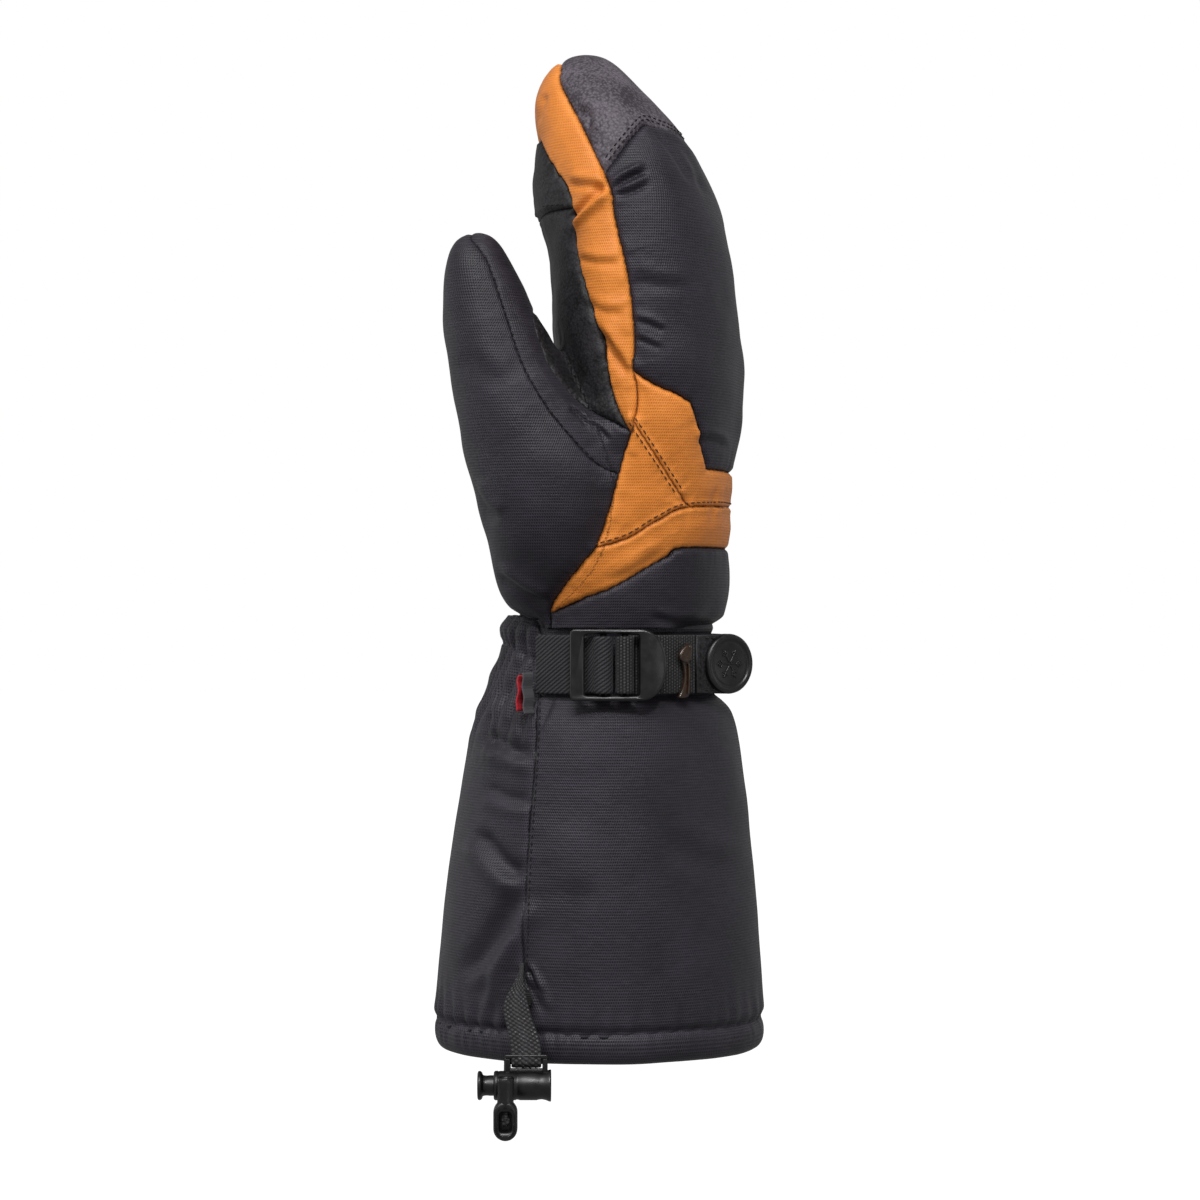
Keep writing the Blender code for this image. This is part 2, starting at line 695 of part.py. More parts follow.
def make_pair_hook():
    """The hook that holds a pair of mittens together: a leaf-shaped nose over a curved stem."""
    middle = math.radians(37.0)
    radius = STRAP_RADIUS + 2 * WEBBING + 2 * CLEARANCE
    spot = Vector((STRAP_CENTRE.x + radius * math.sin(middle), -radius * math.cos(middle), 0.0))
    place = Matrix.Translation(spot * MM) @ Matrix.Rotation(middle, 4, "Z")
    foot = STRAP_LOW - 1.4
    stem = [(2.9, foot), (2.9, foot + 19.0), (1.6, foot + 18.7), (-0.6, foot + 16.4), (-1.6, foot + 14.0)]
    stem += [(-0.2, foot + 12.4), (0.7, foot + 9.0), (0.5, foot + 5.6), (-0.7, foot + 2.0), (-2.4, foot)]
    hook = extrude_outline("pair_hook", stem, -1.5, 0.0, axis=1)
    nose = [(2.9, foot + 13.2), (2.9, foot + 19.0), (0.6, foot + 18.6), (-1.8, foot + 16.6)]
    nose += [(-3.0, foot + 14.4)]
    nose += [(-1.2, foot + 12.6), (1.2, foot + 12.2)]
    combine(hook, extrude_outline("nose", nose, -2.8, -0.8, axis=1), "UNION")
    solid(hook, "pair_hook", "smoke")
    hook.matrix_world = place


def make_labels():
    """Two small folded ribbon labels sewn into the side seam, standing out from it."""
    outward = Vector((-0.55, -0.84))
    root = Vector((-23.6, -34.8)) + outward * 0.8
    for name, shift, slot, low, high in (
        ("size_label", -0.9, "red", 121.5, 134.0), ("side_label", 0.9, "webbing", 120.5, 135.0),
    ):
        side = Vector((0.84, -0.55)) * shift
        path = [root + side, root + side + outward * 6.0]
        strip(name, path, 0.8, low, high, slot=slot)


# ---------------------------------------------------------------- cord lock
def make_tether():
    """The webbing loop sewn in behind the slit. It holds the lock by its bar and is folded narrow at its top."""
    bar_y, bar_z = LOCK_CENTRE.y + 1.4, LOCK_CENTRE.z + 8.2
    front = [(-42.4, 34.2), (-46.4, 34.0), (-49.0, 30.6), (-52.4, 17.0), (-54.8, 7.0)]
    bend = []
    for k in range(7):
        angle = math.radians(180 + 30 * k)
        bend.append((bar_y + 1.9 * math.cos(angle), bar_z + 1.9 * math.sin(angle)))
    back = [(-50.9, 7.0), (-50.5, 14.0), (-48.7, 25.0), (-46.9, 30.6), (-45.4, 31.9), (-42.4, 31.9)]
    tether = extrude_outline("lock_tether", thicken(front + bend + back, 0.9), -1, 1, axis=0, slot="webbing")
    for vert in tether.data.vertices:
        share = min(max((30.0 - vert.co.z / MM) / 22.0, 0.0), 1.0)
        vert.co.x = (-26.7 + 1.7 * share) * MM + vert.co.x * (1.8 + 2.6 * share)


def make_lock_body():
    x, y, z = LOCK_CENTRE
    left, right = -36.0, -16.8
    body = rod("lock_body", (left, y, z), (right, y, z), LOCK_RADIUS)
    flare = rod("flare", (right - 1.4, y, z), (right + 0.4, y, z), LOCK_RADIUS - 0.3, LOCK_RADIUS + 0.5)
    combine(body, flare, "UNION")
    for low, high in ((-32.2, -30.4), (-19.4, -17.6)):
        ear = box("ear", (low, y - 0.4, z + 3.2), (high, y + 3.2, z + 9.9), 0.4)
        combine(body, ear, "UNION")
    bar = rod("bar", (-31.2, y + 1.4, z + 8.2), (-18.6, y + 1.4, z + 8.2), 1.1, sides=12)
    combine(body, bar, "UNION")
    combine(body, rod("bore", (left - 2, y, z), (right - 1.6, y, z), LOCK_RADIUS - 1.2), "DIFFERENCE")
    hole = rod("hole", (CORD_X, y - 9, z + 1.2), (CORD_X, y + 9, z + 1.2), CORD_RADIUS + 0.5, sides=14)
    combine(body, hole, "DIFFERENCE")
    solid(body, "lock_body", "plastic")


def make_lock_plunger():
    x, y, z = LOCK_CENTRE
    plunger = rod("lock_plunger", (-41.6, y, z), (-25.4, y, z), LOCK_RADIUS - 1.5)
    button = rod("button", (-41.6, y, z), (-39.9, y, z), LOCK_RADIUS, LOCK_RADIUS - 0.6)
    combine(plunger, button, "UNION")
    slot_low, slot_high = CORD_X - CORD_RADIUS - 0.4 - LOCK_TRAVEL, CORD_X + CORD_RADIUS + 0.5
    slot = box("slot", (slot_low, y - 9, z + 1.2 - 1.9), (slot_high, y + 9, z + 1.2 + 1.9))
    combine(plunger, slot, "DIFFERENCE")
    seat = rod("seat", (-27.4, y, z), (-20, y, z), 2.6, sides=14)
    combine(plunger, seat, "DIFFERENCE")
    solid(plunger, "lock_plunger", "plastic")


def make_lock_spring():
    x, y, z = LOCK_CENTRE
    start, end, turns, steps = -26.9, -18.9, 4, 8
    points = []
    for k in range(turns * steps + 1):
        angle = 2 * math.pi * k / steps
        place = start + (end - start) * k / (turns * steps)
        points.append((place, y + 1.9 * math.cos(angle), z + 1.9 * math.sin(angle)))
    tube("lock_spring", points, 0.25, 0, "steel")


def make_cord_end():
    """The moulded pull on the drawcord: a round neck on a flat rounded body with a window."""
    neck_top, body_top, foot = LOCK_CENTRE.z + 4.2, -10.0, -23.6
    pull = rod("cord_end", (CORD_X, CORD_END_Y, neck_top), (CORD_X, CORD_END_Y, body_top - 2), 3.0)
    outline = []
    for centre_z, start in ((body_top - 3.9, 180), (foot + 4.1, 360)):
        for k in range(9):
            angle = math.radians(start - 22.5 * k)
            outline.append((CORD_X + 4.1 * math.cos(angle), centre_z + 4.1 * math.sin(angle)))
    body = extrude_outline("body", outline, CORD_END_Y - 2.9, CORD_END_Y + 2.9, axis=1)
    edge = body.modifiers.new("edge", "BEVEL")
    edge.width = 0.9 * MM
    edge.segments = 2
    edge.limit_method = "ANGLE"
    bake(body)
    combine(pull, body, "UNION")
    mouth_z = LOCK_CENTRE.z + 1.2
    bore = rod("bore", (CORD_X, CORD_END_Y, mouth_z + 1.7), (CORD_X, CORD_END_Y, body_top - 6), 1.8, sides=14)
    mouth = rod("mouth", (CORD_X, CORD_END_Y, mouth_z), (CORD_X, CORD_END_Y + 9, mouth_z), 1.8, sides=14)
    combine(bore, mouth, "UNION")
    combine(pull, bore, "DIFFERENCE")
    window = box(
        "window", (CORD_X - 1.9, CORD_END_Y - 9, foot + 3.2), (CORD_X + 1.9, CORD_END_Y + 1.4, foot + 9.8), 0.8
    )
    combine(pull, window, "DIFFERENCE")
    solid(pull, "cord_end", "plastic")
    knot_z = foot + 6.4
    bm = bmesh.new()
    place = Matrix.Translation(Vector((CORD_X, CORD_END_Y - 0.4, knot_z)) * MM)
    size = Matrix.Diagonal((1.4 * MM, 1.3 * MM, 1.9 * MM, 1.0))
    bmesh.ops.create_icosphere(bm, subdivisions=2, radius=1.0, matrix=place @ size)
    add_object("cord_knot", mesh_from("cord_knot", bm), "webbing")


def make_drawcord_tail():
    """The cord from the hem's eyelet, through the lock and down into the moulded pull."""
    x, y, z = CORD_X, LOCK_CENTRE.y, LOCK_CENTRE.z + 1.2
    points = [
        (x, CORD_Y, 5.0), (x, CORD_Y, 0.6), (x, CORD_Y - 0.6, -1.8), (x, CORD_Y - 2.4, -3.8),
        (x, CORD_Y - 5.0, z), (x, y + 5.2, z), (x, y, z), (x, CORD_END_Y + 0.9, z),
        (x, CORD_END_Y, z - 0.9), (x, CORD_END_Y, -13.8),
    ]
    tube("drawcord_tail", points, CORD_RADIUS, 2)


clear_scene()
MITTEN = new_collection("ski_mitten")
make_hand_panels()
make_thumb_panels()
make_palm_patch()
make_inner_layers()
make_cuff()
make_wrist_elastic()
make_hem()
make_hem_drawcord()
tail_end, tail_along = make_strap()
make_badge(tail_end, tail_along)
make_buckle()
make_pair_hook()
make_labels()
make_tether()
make_lock_body()
make_lock_plunger()
make_lock_spring()
make_cord_end()
make_drawcord_tail()
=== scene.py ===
"""A ski mitten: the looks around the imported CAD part.

Lengths in the tables and in the mesh code are in millimetres.
"""

import cmath
import math
from collections import Counter
from contextlib import contextmanager

import bmesh
import bpy
import numpy as np
from mathutils import Matrix, Vector
from mathutils.bvhtree import BVHTree
from mathutils.kdtree import KDTree


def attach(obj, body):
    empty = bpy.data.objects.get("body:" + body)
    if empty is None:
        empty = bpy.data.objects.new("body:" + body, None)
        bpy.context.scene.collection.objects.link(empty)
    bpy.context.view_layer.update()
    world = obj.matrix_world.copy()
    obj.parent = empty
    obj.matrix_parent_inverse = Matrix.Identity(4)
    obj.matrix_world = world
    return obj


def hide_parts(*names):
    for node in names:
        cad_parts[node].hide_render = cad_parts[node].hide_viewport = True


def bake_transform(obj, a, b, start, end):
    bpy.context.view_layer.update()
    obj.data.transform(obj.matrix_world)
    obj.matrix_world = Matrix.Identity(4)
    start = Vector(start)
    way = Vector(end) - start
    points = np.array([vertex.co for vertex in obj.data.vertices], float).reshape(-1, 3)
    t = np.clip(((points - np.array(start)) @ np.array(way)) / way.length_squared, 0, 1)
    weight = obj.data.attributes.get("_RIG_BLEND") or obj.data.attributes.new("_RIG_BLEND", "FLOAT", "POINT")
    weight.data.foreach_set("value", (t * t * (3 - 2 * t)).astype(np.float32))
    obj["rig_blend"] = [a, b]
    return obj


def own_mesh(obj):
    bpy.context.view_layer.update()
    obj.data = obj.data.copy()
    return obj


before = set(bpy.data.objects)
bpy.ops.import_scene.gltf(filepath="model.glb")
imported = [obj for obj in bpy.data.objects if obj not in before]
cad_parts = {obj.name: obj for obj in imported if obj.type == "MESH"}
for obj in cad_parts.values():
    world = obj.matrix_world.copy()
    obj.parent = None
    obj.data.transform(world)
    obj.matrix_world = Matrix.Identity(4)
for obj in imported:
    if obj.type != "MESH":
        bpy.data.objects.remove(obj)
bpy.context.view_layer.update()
SCENE = bpy.context.scene
MM = 0.001

# ---------------------------------------------------------------- the soft bodies' tables, as in part.py
# rows: z, palm x, back x, half width in y
HAND = [
    (354.4, -6.8, -6.8, 0.0), (352.6, -14.5, 2.0, 15.0), (347, -19.4, 9.5, 25.0), (338, -22.2, 18.5, 35.5),
    (326, -22.2, 29.5, 44.0), (312, -21.8, 36.8, 50.0), (298, -20.4, 42.4, 53.5), (281, -17.2, 46.4, 56.0),
    (262, -16.6, 49.0, 57.0), (243, -15.0, 50.4, 56.5), (225, -14.5, 49.6, 55.0), (205, -17.0, 47.6, 52.0),
    (180, -23.0, 46.6, 47.0), (162, -28.5, 44.8, 43.0), (150.5, -32.0, 41.5, 40.0),
]
# rows: z, outer x, inner x, middle y, half width in y
THUMB = [
    (288.8, -43.5, -43.5, -32.0, 0.0), (286.6, -49.0, -37.5, -32.0, 7.0), (280.5, -52.0, -32.2, -32.0, 11.5),
    (270, -53.2, -26.5, -32.0, 14.8), (256, -53.0, -19.2, -31.5, 18.0), (240, -51.2, -10.0, -31.0, 21.5),
    (222, -48.2, 4.0, -30.0, 25.0), (205, -45.2, 13.0, -28.0, 28.5), (188, -40.8, 12.0, -25.5, 29.0),
    (172, -36.8, 6.0, -22.5, 26.0), (160, -32.6, -2.0, -18.0, 21.0), (153, -27.0, -8.0, -16.0, 14.0),
]
CUFF = [
    (150.1, -31.8, 40.6, 39.0), (143, -34.4, 40.6, 39.2), (135, -37.4, 40.8, 39.6), (127, -40.4, 41.6, 40.3),
    (120, -43.6, 47.6, 43.2), (108, -46.8, 50.6, 45.2), (92, -49.6, 52.8, 47.0), (66, -53.4, 54.8, 49.4),
    (38, -56.4, 57.0, 51.2), (11.9, -58.4, 58.8, 52.6),
]
HAND_POWER, THUMB_POWER, CUFF_POWER = 2.3, 2.2, 2.0  # 2 is an ellipse, and more is squarer
HEM_X = 0.2  # the middle of the hem

# ---------------------------------------------------------------- seams, seen from the side: x, z
GUSSET_BACK = [
    (-13, 360), (-13.5, 351), (-14, 343), (-11, 335), (-6.5, 325), (-1.5, 314), (2, 306.5), (4.5, 299),
    (4.5, 295), (6.5, 285), (9, 275), (11, 262), (12, 251), (11.5, 238.5),
]
GUSSET_PALM = [
    (-30, 328), (-21, 323.5), (-14.5, 309), (-11, 300.5), (-9.5, 291), (-7.5, 278), (-5, 268.5), (-2.5, 259),
    (1, 248), (3, 234), (6.5, 225), (11.5, 216),
]
GUSSET_END = [(11.5, 241), (11.5, 239), (12.8, 233), (13.2, 228), (12.0, 222), (9.0, 212), (7.5, 206)]
BAND_TOP = [(9, 240.5), (11, 239), (19, 234), (26.5, 231), (32, 228), (34.8, 220), (38, 205.5), (60, 205.5)]
BAND_DIAGONAL = [(9.5, 225), (11, 222.5), (19, 210.5), (28, 197), (33.5, 190)]
BAND_CHEVRON = [(-5, 177), (-2.0, 177.8), (3.0, 179.2), (11, 182), (21, 188), (32, 192.4), (60, 193.4)]
BAND_BOTTOM = [
    (-20.5, 153.5), (-18.2, 154.8), (-14, 156.5), (-4, 161), (5, 164.5), (15, 170), (24, 175), (30, 178.2),
    (60, 178.2),
]
BAND_PALM = [
    (12.5, 222), (11.5, 219), (8.5, 210.5), (6.5, 201), (3, 188), (-1, 178), (-10.5, 166), (-16.8, 157),
    (-18.5, 147),
]
CAP_EDGE = [(-2, 303), (0, 305), (8.5, 316.5), (16, 326), (21, 325), (50, 319)]
PATCH_EDGE = [(-60, 298), (-7.5, 296)]
THUMB_SEAM = [
    (-44.5, 300), (-44.5, 286), (-38.5, 277.5), (-32.5, 260), (-26, 241), (-18, 227), (-9, 216), (0, 207),
    (12, 201),
]
THUMB_PAD_SEAM = [
    (-20.5, 268), (-22.5, 258), (-19, 247), (-15, 239), (-9, 232), (-6.5, 226), (-3, 214), (-1, 203),
]
CUFF_SIDE = [(-19, 160), (-20.5, 149), (-21.5, 128), (-22.5, 104), (-25, 66), (-27, 0)]


# ---------------------------------------------------------------- curves
AT_ONCE = 8000  # as many places as are compared with a line at a time, to save memory


def catmull(points, place):
    """The spline through the points, at a place counted in points."""
    last = len(points) - 1
    i = min(max(int(place), 0), last - 1)
    t = place - i
    a, b, c, d = (np.asarray(points[min(max(i + k, 0), last)], float) for k in (-1, 0, 1, 2))
    return 0.5 * (2 * b + (c - a) * t + (2 * a - 5 * b + 4 * c - d) * t * t + (3 * b - 3 * c + d - a) * t**3)


def cross(a, b):
    return a[..., 0] * b[..., 1] - a[..., 1] * b[..., 0]


def distance_along(line):
    """For each point of a line, the length of the line up to it."""
    return np.concatenate([[0], np.cumsum(np.linalg.norm(np.diff(line, axis=0), axis=1))])


def directions(line):
    """The unit direction of a line at each of its points."""
    along = np.gradient(line, axis=0)
    return along / np.maximum(np.linalg.norm(along, axis=1), 1e-9)[:, None]


def to_left(along):
    return np.column_stack([-along[:, 1], along[:, 0]])


def circle(sides, shift=0.0):
    """Angles that are evenly spaced round a circle."""
    return 2 * np.pi * (np.arange(sides) + shift) / sides


def rounded(points, step=1.0, corner=35.0):
    """A smooth line through the points at even steps. Corners that turn more than corner degrees stay."""
    points = [np.asarray(p, float) for p in points]
    runs, run = [], [points[0]]
    for before, here, after in zip(points, points[1:], points[2:]):
        run.append(here)
        one, two = here - before, after - here
        cosine = one @ two / np.linalg.norm(one) / np.linalg.norm(two)
        if math.degrees(math.acos(np.clip(cosine, -1, 1))) > corner:
            runs.append(run)
            run = [here]
    runs.append(run + [points[-1]])
    line = [points[0]]
    for run in runs:
        for i in range(len(run) - 1):
            count = max(1, round(np.linalg.norm(run[i + 1] - run[i]) / step))
            line += [catmull(run, i + (k + 1) / count) for k in range(count)]
    return np.array(line)


def nearest_on_line(places, line):
    """For each place the distance to a line, the nearest point on it, the length along it, and the side."""
    start, along = line[:-1], np.diff(line, axis=0)
    squared = np.maximum((along**2).sum(1), 1e-12)
    length, before = np.sqrt(squared), distance_along(line)
    found = []
    for first in range(0, len(places), AT_ONCE):
        some = places[first : first + AT_ONCE]
        offset = some[:, None] - start[None]
        share = np.clip((offset * along).sum(2) / squared, 0, 1)
        foot = start + share[..., None] * along
        away = np.linalg.norm(some[:, None] - foot, axis=2)
        best = away.argmin(1)
        rows = np.arange(len(some))
        walked = before[best] + share[rows, best] * length[best]
        side = np.sign(cross(along[best], offset[rows, best]))
        found.append((away[rows, best], foot[rows, best], walked, side))
    return [np.concatenate(values) for values in zip(*found)]


def lumps(places, size, seed=0):
    """Smooth value noise from -1 to 1, with lumps of about that size."""
    place = np.asarray(places, float) / size + 31.7 * seed + 500
    cell = np.floor(place).astype(np.int64)
    part = place - cell
    part = part**3 * (part * (part * 6 - 15) + 10)
    total = np.zeros(len(place))
    for corner in range(8):
        step = np.array([corner & 1, corner >> 1 & 1, corner >> 2])
        key = ((cell + step) * np.array([73856093, 19349663, 83492791])).sum(1) & 0xFFFFFF
        key = (key * 2654435 ^ (key >> 7)) & 0xFFFFFFF
        key = (key * 40503 ^ (key >> 11)) & 0xFFFFFF
        total += (key / 0x7FFFFF - 1) * np.prod(np.where(step, part, 1 - part), axis=1)
    return total


def bell(value, width):
    return np.exp(-((value / width) ** 2))


def ramp(value, low, high):
    """0 below low, 1 above high, and smooth between. Low may be above high."""
    t = np.clip((value - low) / (high - low), 0, 1)
    return t * t * (3 - 2 * t)


# ---------------------------------------------------------------- lofts
def dense_rows(table, count):
    """The table's rows at many levels, each as z, middle x, half x, middle y, half y."""
    rows = []
    for k in range(count + 1):
        row = catmull(table, (len(table) - 1) * k / count)
        z, left, right = row[:3]
        middle_y, half_y = (0.0, row[3]) if len(row) == 4 else row[3:]
        rows.append((z, (left + right) / 2, (right - left) / 2, middle_y, half_y))
    return np.array(rows)


def row_at(rows, z):
    """Each row value at the heights z."""
    order = np.argsort(rows[:, 0])
    return [np.interp(z, rows[order, 0], rows[order, k]) for k in range(1, 5)]


def powered(values, power):
    return np.copysign(np.abs(values) ** power, values)


def rim(row, power, angles):
    """Points round one level."""
    z, middle_x, half_x, middle_y, half_y = row
    x = middle_x + half_x * powered(np.cos(angles), 2 / power)
    y = middle_y + half_y * powered(np.sin(angles), 2 / power)
    return np.column_stack([x, y, np.full(len(angles), z)])


def tube_grid(levels, sides):
    """Quads of an open tube whose points are stored level by level."""
    k = np.arange(sides)
    starts = np.arange(levels - 1)[:, None] * sides
    a, b = (starts + k).ravel(), (starts + (k + 1) % sides).ravel()
    return np.column_stack([a, a + sides, b + sides, b])


def end_fans(levels, sides):
    """Triangles that close a tube onto two points stored after its own: its first level's and its last's."""
    count = levels * sides
    last = count - sides
    k = np.arange(sides)
    after = (k + 1) % sides
    first_end = np.column_stack([np.full(sides, count), after, k])
    last_end = np.column_stack([np.full(sides, count + 1), last + k, last + after])
    return np.stack([first_end, last_end], axis=1).reshape(-1, 3)


def loft(rows, power, sides):
    """Points and faces of a body through the rows, closed at both ends. The first row is its tip."""
    angles = circle(sides, 0.5)
    points = [rim(row, power, angles) for row in rows[1:]]
    tip = rim(rows[0], power, angles).mean(0)
    faces = [*tube_grid(len(points), sides)[:, [0, 3, 2, 1]], *end_fans(len(points), sides)]
    points += [tip[None], points[-1].mean(0)[None]]
    return np.concatenate(points), faces


def outside(rows, power, places):
    """Roughly how far places lie outside a lofted body, in millimetres; negative inside."""
    middle_x, half_x, middle_y, half_y = row_at(rows, places[:, 2])
    half_x, half_y = np.maximum(half_x, 0.5), np.maximum(half_y, 0.5)
    x, y = np.abs(places[:, 0] - middle_x) / half_x, np.abs(places[:, 1] - middle_y) / half_y
    reach = (x**power + y**power) ** (1 / power)
    level = (reach - 1) * np.hypot(half_x * x, half_y * y) / np.maximum(reach, 1e-6)
    return np.maximum(level, np.maximum(places[:, 2] - rows[:, 0].max(), rows[:, 0].min() - places[:, 2]))


def cloth_places(rows, power, places):
    """Where places lie on the cloth: the signed length round the body, and the height.

    It is given twice: with the length from the middle of the back, and from the middle of the palm.
    """
    levels = np.linspace(rows[:, 0].min(), rows[:, 0].max(), 60)
    angles = np.linspace(0, np.pi, 97)
    around = np.zeros((len(levels), len(angles)))
    for i, z in enumerate(levels):
        row = [z] + [float(value[0]) for value in row_at(rows, np.array([z]))]
        steps = np.linalg.norm(np.diff(rim(row, power, angles), axis=0), axis=1)
        around[i, 1:] = np.cumsum(steps)
    middle_x, half_x, middle_y, half_y = row_at(rows, places[:, 2])
    x = (places[:, 0] - middle_x) / np.maximum(half_x, 0.5)
    y = np.abs(places[:, 1] - middle_y) / np.maximum(half_y, 0.5)
    angle = np.arctan2(y ** (power / 2), powered(x, power / 2))
    level = np.clip((places[:, 2] - levels[0]) / (levels[1] - levels[0]), 0, len(levels) - 1.001)
    turn = np.clip(angle / (angles[1] - angles[0]), 0, len(angles) - 1.001)
    i, j = level.astype(int), turn.astype(int)
    s, t = level - i, turn - j
    u = (
        around[i, j] * (1 - s) * (1 - t) + around[i + 1, j] * s * (1 - t)
        + around[i, j + 1] * (1 - s) * t + around[i + 1, j + 1] * s * t
    )
    whole = around[i, -1] * (1 - s) + around[i + 1, -1] * s
    side = np.where(places[:, 1] < middle_y, 1.0, -1.0)
    flat = np.zeros(len(places))
    return [np.column_stack([length * side, places[:, 2], flat]) for length in (u, u - whole)]


# ---------------------------------------------------------------- meshes
def linked(name, data):
    obj = bpy.data.objects.new(name, data)
    SCENE.collection.objects.link(obj)
    return obj


def new_object(name, points, faces, places=None):
    """A mesh object from points in millimetres."""
    mesh = bpy.data.meshes.new(name)
    mesh.from_pydata((np.asarray(points, float) * MM).tolist(), [], [tuple(map(int, f)) for f in faces])
    mesh.update()
    if places is not None:
        give(mesh, "cloth", "FLOAT_VECTOR", places)
    mesh.shade_smooth()
    return linked(name, mesh)


def give(mesh, name, kind, values):
    attribute = mesh.attributes.get(name) or mesh.attributes.new(name, kind, "POINT")
    key = "vector" if kind == "FLOAT_VECTOR" else "value"
    attribute.data.foreach_set(key, np.asarray(values, np.float32).ravel())


def stored(items, key, kind, width=1):
    """One property of all the items, as an array, with a row for each item if it is wide."""
    values = np.empty(len(items) * width, kind)
    items.foreach_get(key, values)
    return values if width == 1 else values.reshape(-1, width)


def stored_points(mesh):
    return stored(mesh.vertices, "co", np.float32, 3).astype(float)


def points_of(mesh):
    return stored_points(mesh) / MM


def move_points(mesh, points):
    """Moves the mesh's points to places in millimetres."""
    mesh.vertices.foreach_set("co", (points * MM).ravel().astype(np.float32))


def normals_of(mesh):
    return stored(mesh.vertex_normals, "vector", np.float32, 3).astype(float)


@contextmanager
def edited(mesh):
    """Opens a mesh for editing, and stores it again afterwards."""
    bm = bmesh.new()
    bm.from_mesh(mesh)
    yield bm
    bm.to_mesh(mesh)
    bm.free()


def apply_modifiers(obj):
    """Replaces the object's mesh with what its modifiers make of it."""
    graph = bpy.context.evaluated_depsgraph_get()
    done = obj.evaluated_get(graph)
    made = bpy.data.meshes.new_from_object(done, preserve_all_data_layers=True, depsgraph=graph)
    obj.modifiers.clear()
    obj.data = made
    return made


def smooth_points(points, edges, weight, rounds):
    """Moves each point towards the mean of its neighbours, by its weight, again and again."""
    count = np.zeros(len(points))
    np.add.at(count, edges.ravel(), 1)
    count = np.maximum(count, 1)[:, None]
    for _ in range(rounds):
        total = np.zeros_like(points)
        np.add.at(total, edges[:, 0], points[edges[:, 1]])
        np.add.at(total, edges[:, 1], points[edges[:, 0]])
        points = points + weight[:, None] * (total / count - points)
    return points


def edges_of(mesh):
    return stored(mesh.edges, "vertices", np.int32, 2)


# ---------------------------------------------------------------- sewing: cutting a mesh along its seams
SNAP = 0.32  # a point this near a seam is moved onto it


def seam_layers(bm):
    return bm.edges.layers.int.new("seam_number"), bm.faces.layers.int.new("panel")


def connect_seam(bm, layer, seam_verts, number):
    """Joins the seam's points across each face, and marks the edges that lie on the seam."""
    bmesh.ops.connect_verts(bm, verts=list(seam_verts), check_degenerate=False)
    for vert in seam_verts:
        for edge in vert.link_edges:
            if edge.other_vert(vert) in seam_verts:
                edge[layer] = number


def cut_seam(bm, layer, line, number, where=None):
    """Cuts the mesh along a line seen from the side, only at the points that where() picks."""
    bm.verts.ensure_lookup_table()
    bm.edges.ensure_lookup_table()
    co = np.array([v.co[:] for v in bm.verts])
    places = co[:, [0, 2]]
    low, high = line.min(0) - 3, line.max(0) + 3
    inside = np.all((places > low) & (places < high), axis=1)
    if where:
        inside[inside] = where(co[inside])
    ids = np.nonzero(inside)[0]
    away, foot, _, _ = nearest_on_line(places[ids], line)
    snapped = ids[away < SNAP]
    for index, spot in zip(snapped, foot[away < SNAP]):
        bm.verts[index].co.x, bm.verts[index].co.z = spot
        places[index] = spot
    on_seam = np.zeros(len(co), bool)
    on_seam[snapped] = True
    seam_verts = {bm.verts[i] for i in snapped}
    ends = np.array([[v.index for v in e.verts] for e in bm.edges])
    chosen = np.nonzero(inside[ends].all(1) & ~on_seam[ends].any(1))[0]
    a, b = places[ends[chosen, 0]], places[ends[chosen, 1]]
    edge_way, line_way = (b - a)[:, None], np.diff(line, axis=0)[None]
    hits = []
    for first in range(0, len(chosen), AT_ONCE):
        some = slice(first, first + AT_ONCE)
        gap = line[None, :-1] - a[some, None]
        across = cross(edge_way[some], line_way)
        across[np.abs(across) < 1e-12] = np.nan
        t, u = cross(gap, line_way) / across, cross(gap, edge_way[some]) / across
        good = (t > 0) & (t < 1) & (u >= -1e-9) & (u <= 1 + 1e-9)
        for row in np.nonzero(good.any(1))[0]:
            hits.append((bm.edges[chosen[first + row]], float(t[row, good[row].argmax()])))
    for edge, share in hits:
        seam_verts.add(bmesh.utils.edge_split(edge, edge.verts[0], share)[1])
    connect_seam(bm, layer, seam_verts, number)


def cut_field(bm, layer, field, number, where):
    """Cuts the mesh where a field of the points changes sign, only at the points that where() picks."""
    bm.verts.ensure_lookup_table()
    co = np.array([v.co[:] for v in bm.verts])
    values, picked = field(co), where(co)
    seam_verts, hits = set(), []
    for edge in bm.edges:
        i, j = (v.index for v in edge.verts)
        if values[i] * values[j] < 0 and picked[i] and picked[j]:
            share = values[i] / (values[i] - values[j])
            if share < 0.12:
                seam_verts.add(edge.verts[0])
            elif share > 0.88:
                seam_verts.add(edge.verts[1])
            else:
                hits.append((edge, share))
    for edge, share in hits:
        if not any(v in seam_verts for v in edge.verts):
            seam_verts.add(bmesh.utils.edge_split(edge, edge.verts[0], share)[1])
    connect_seam(bm, layer, seam_verts, number)


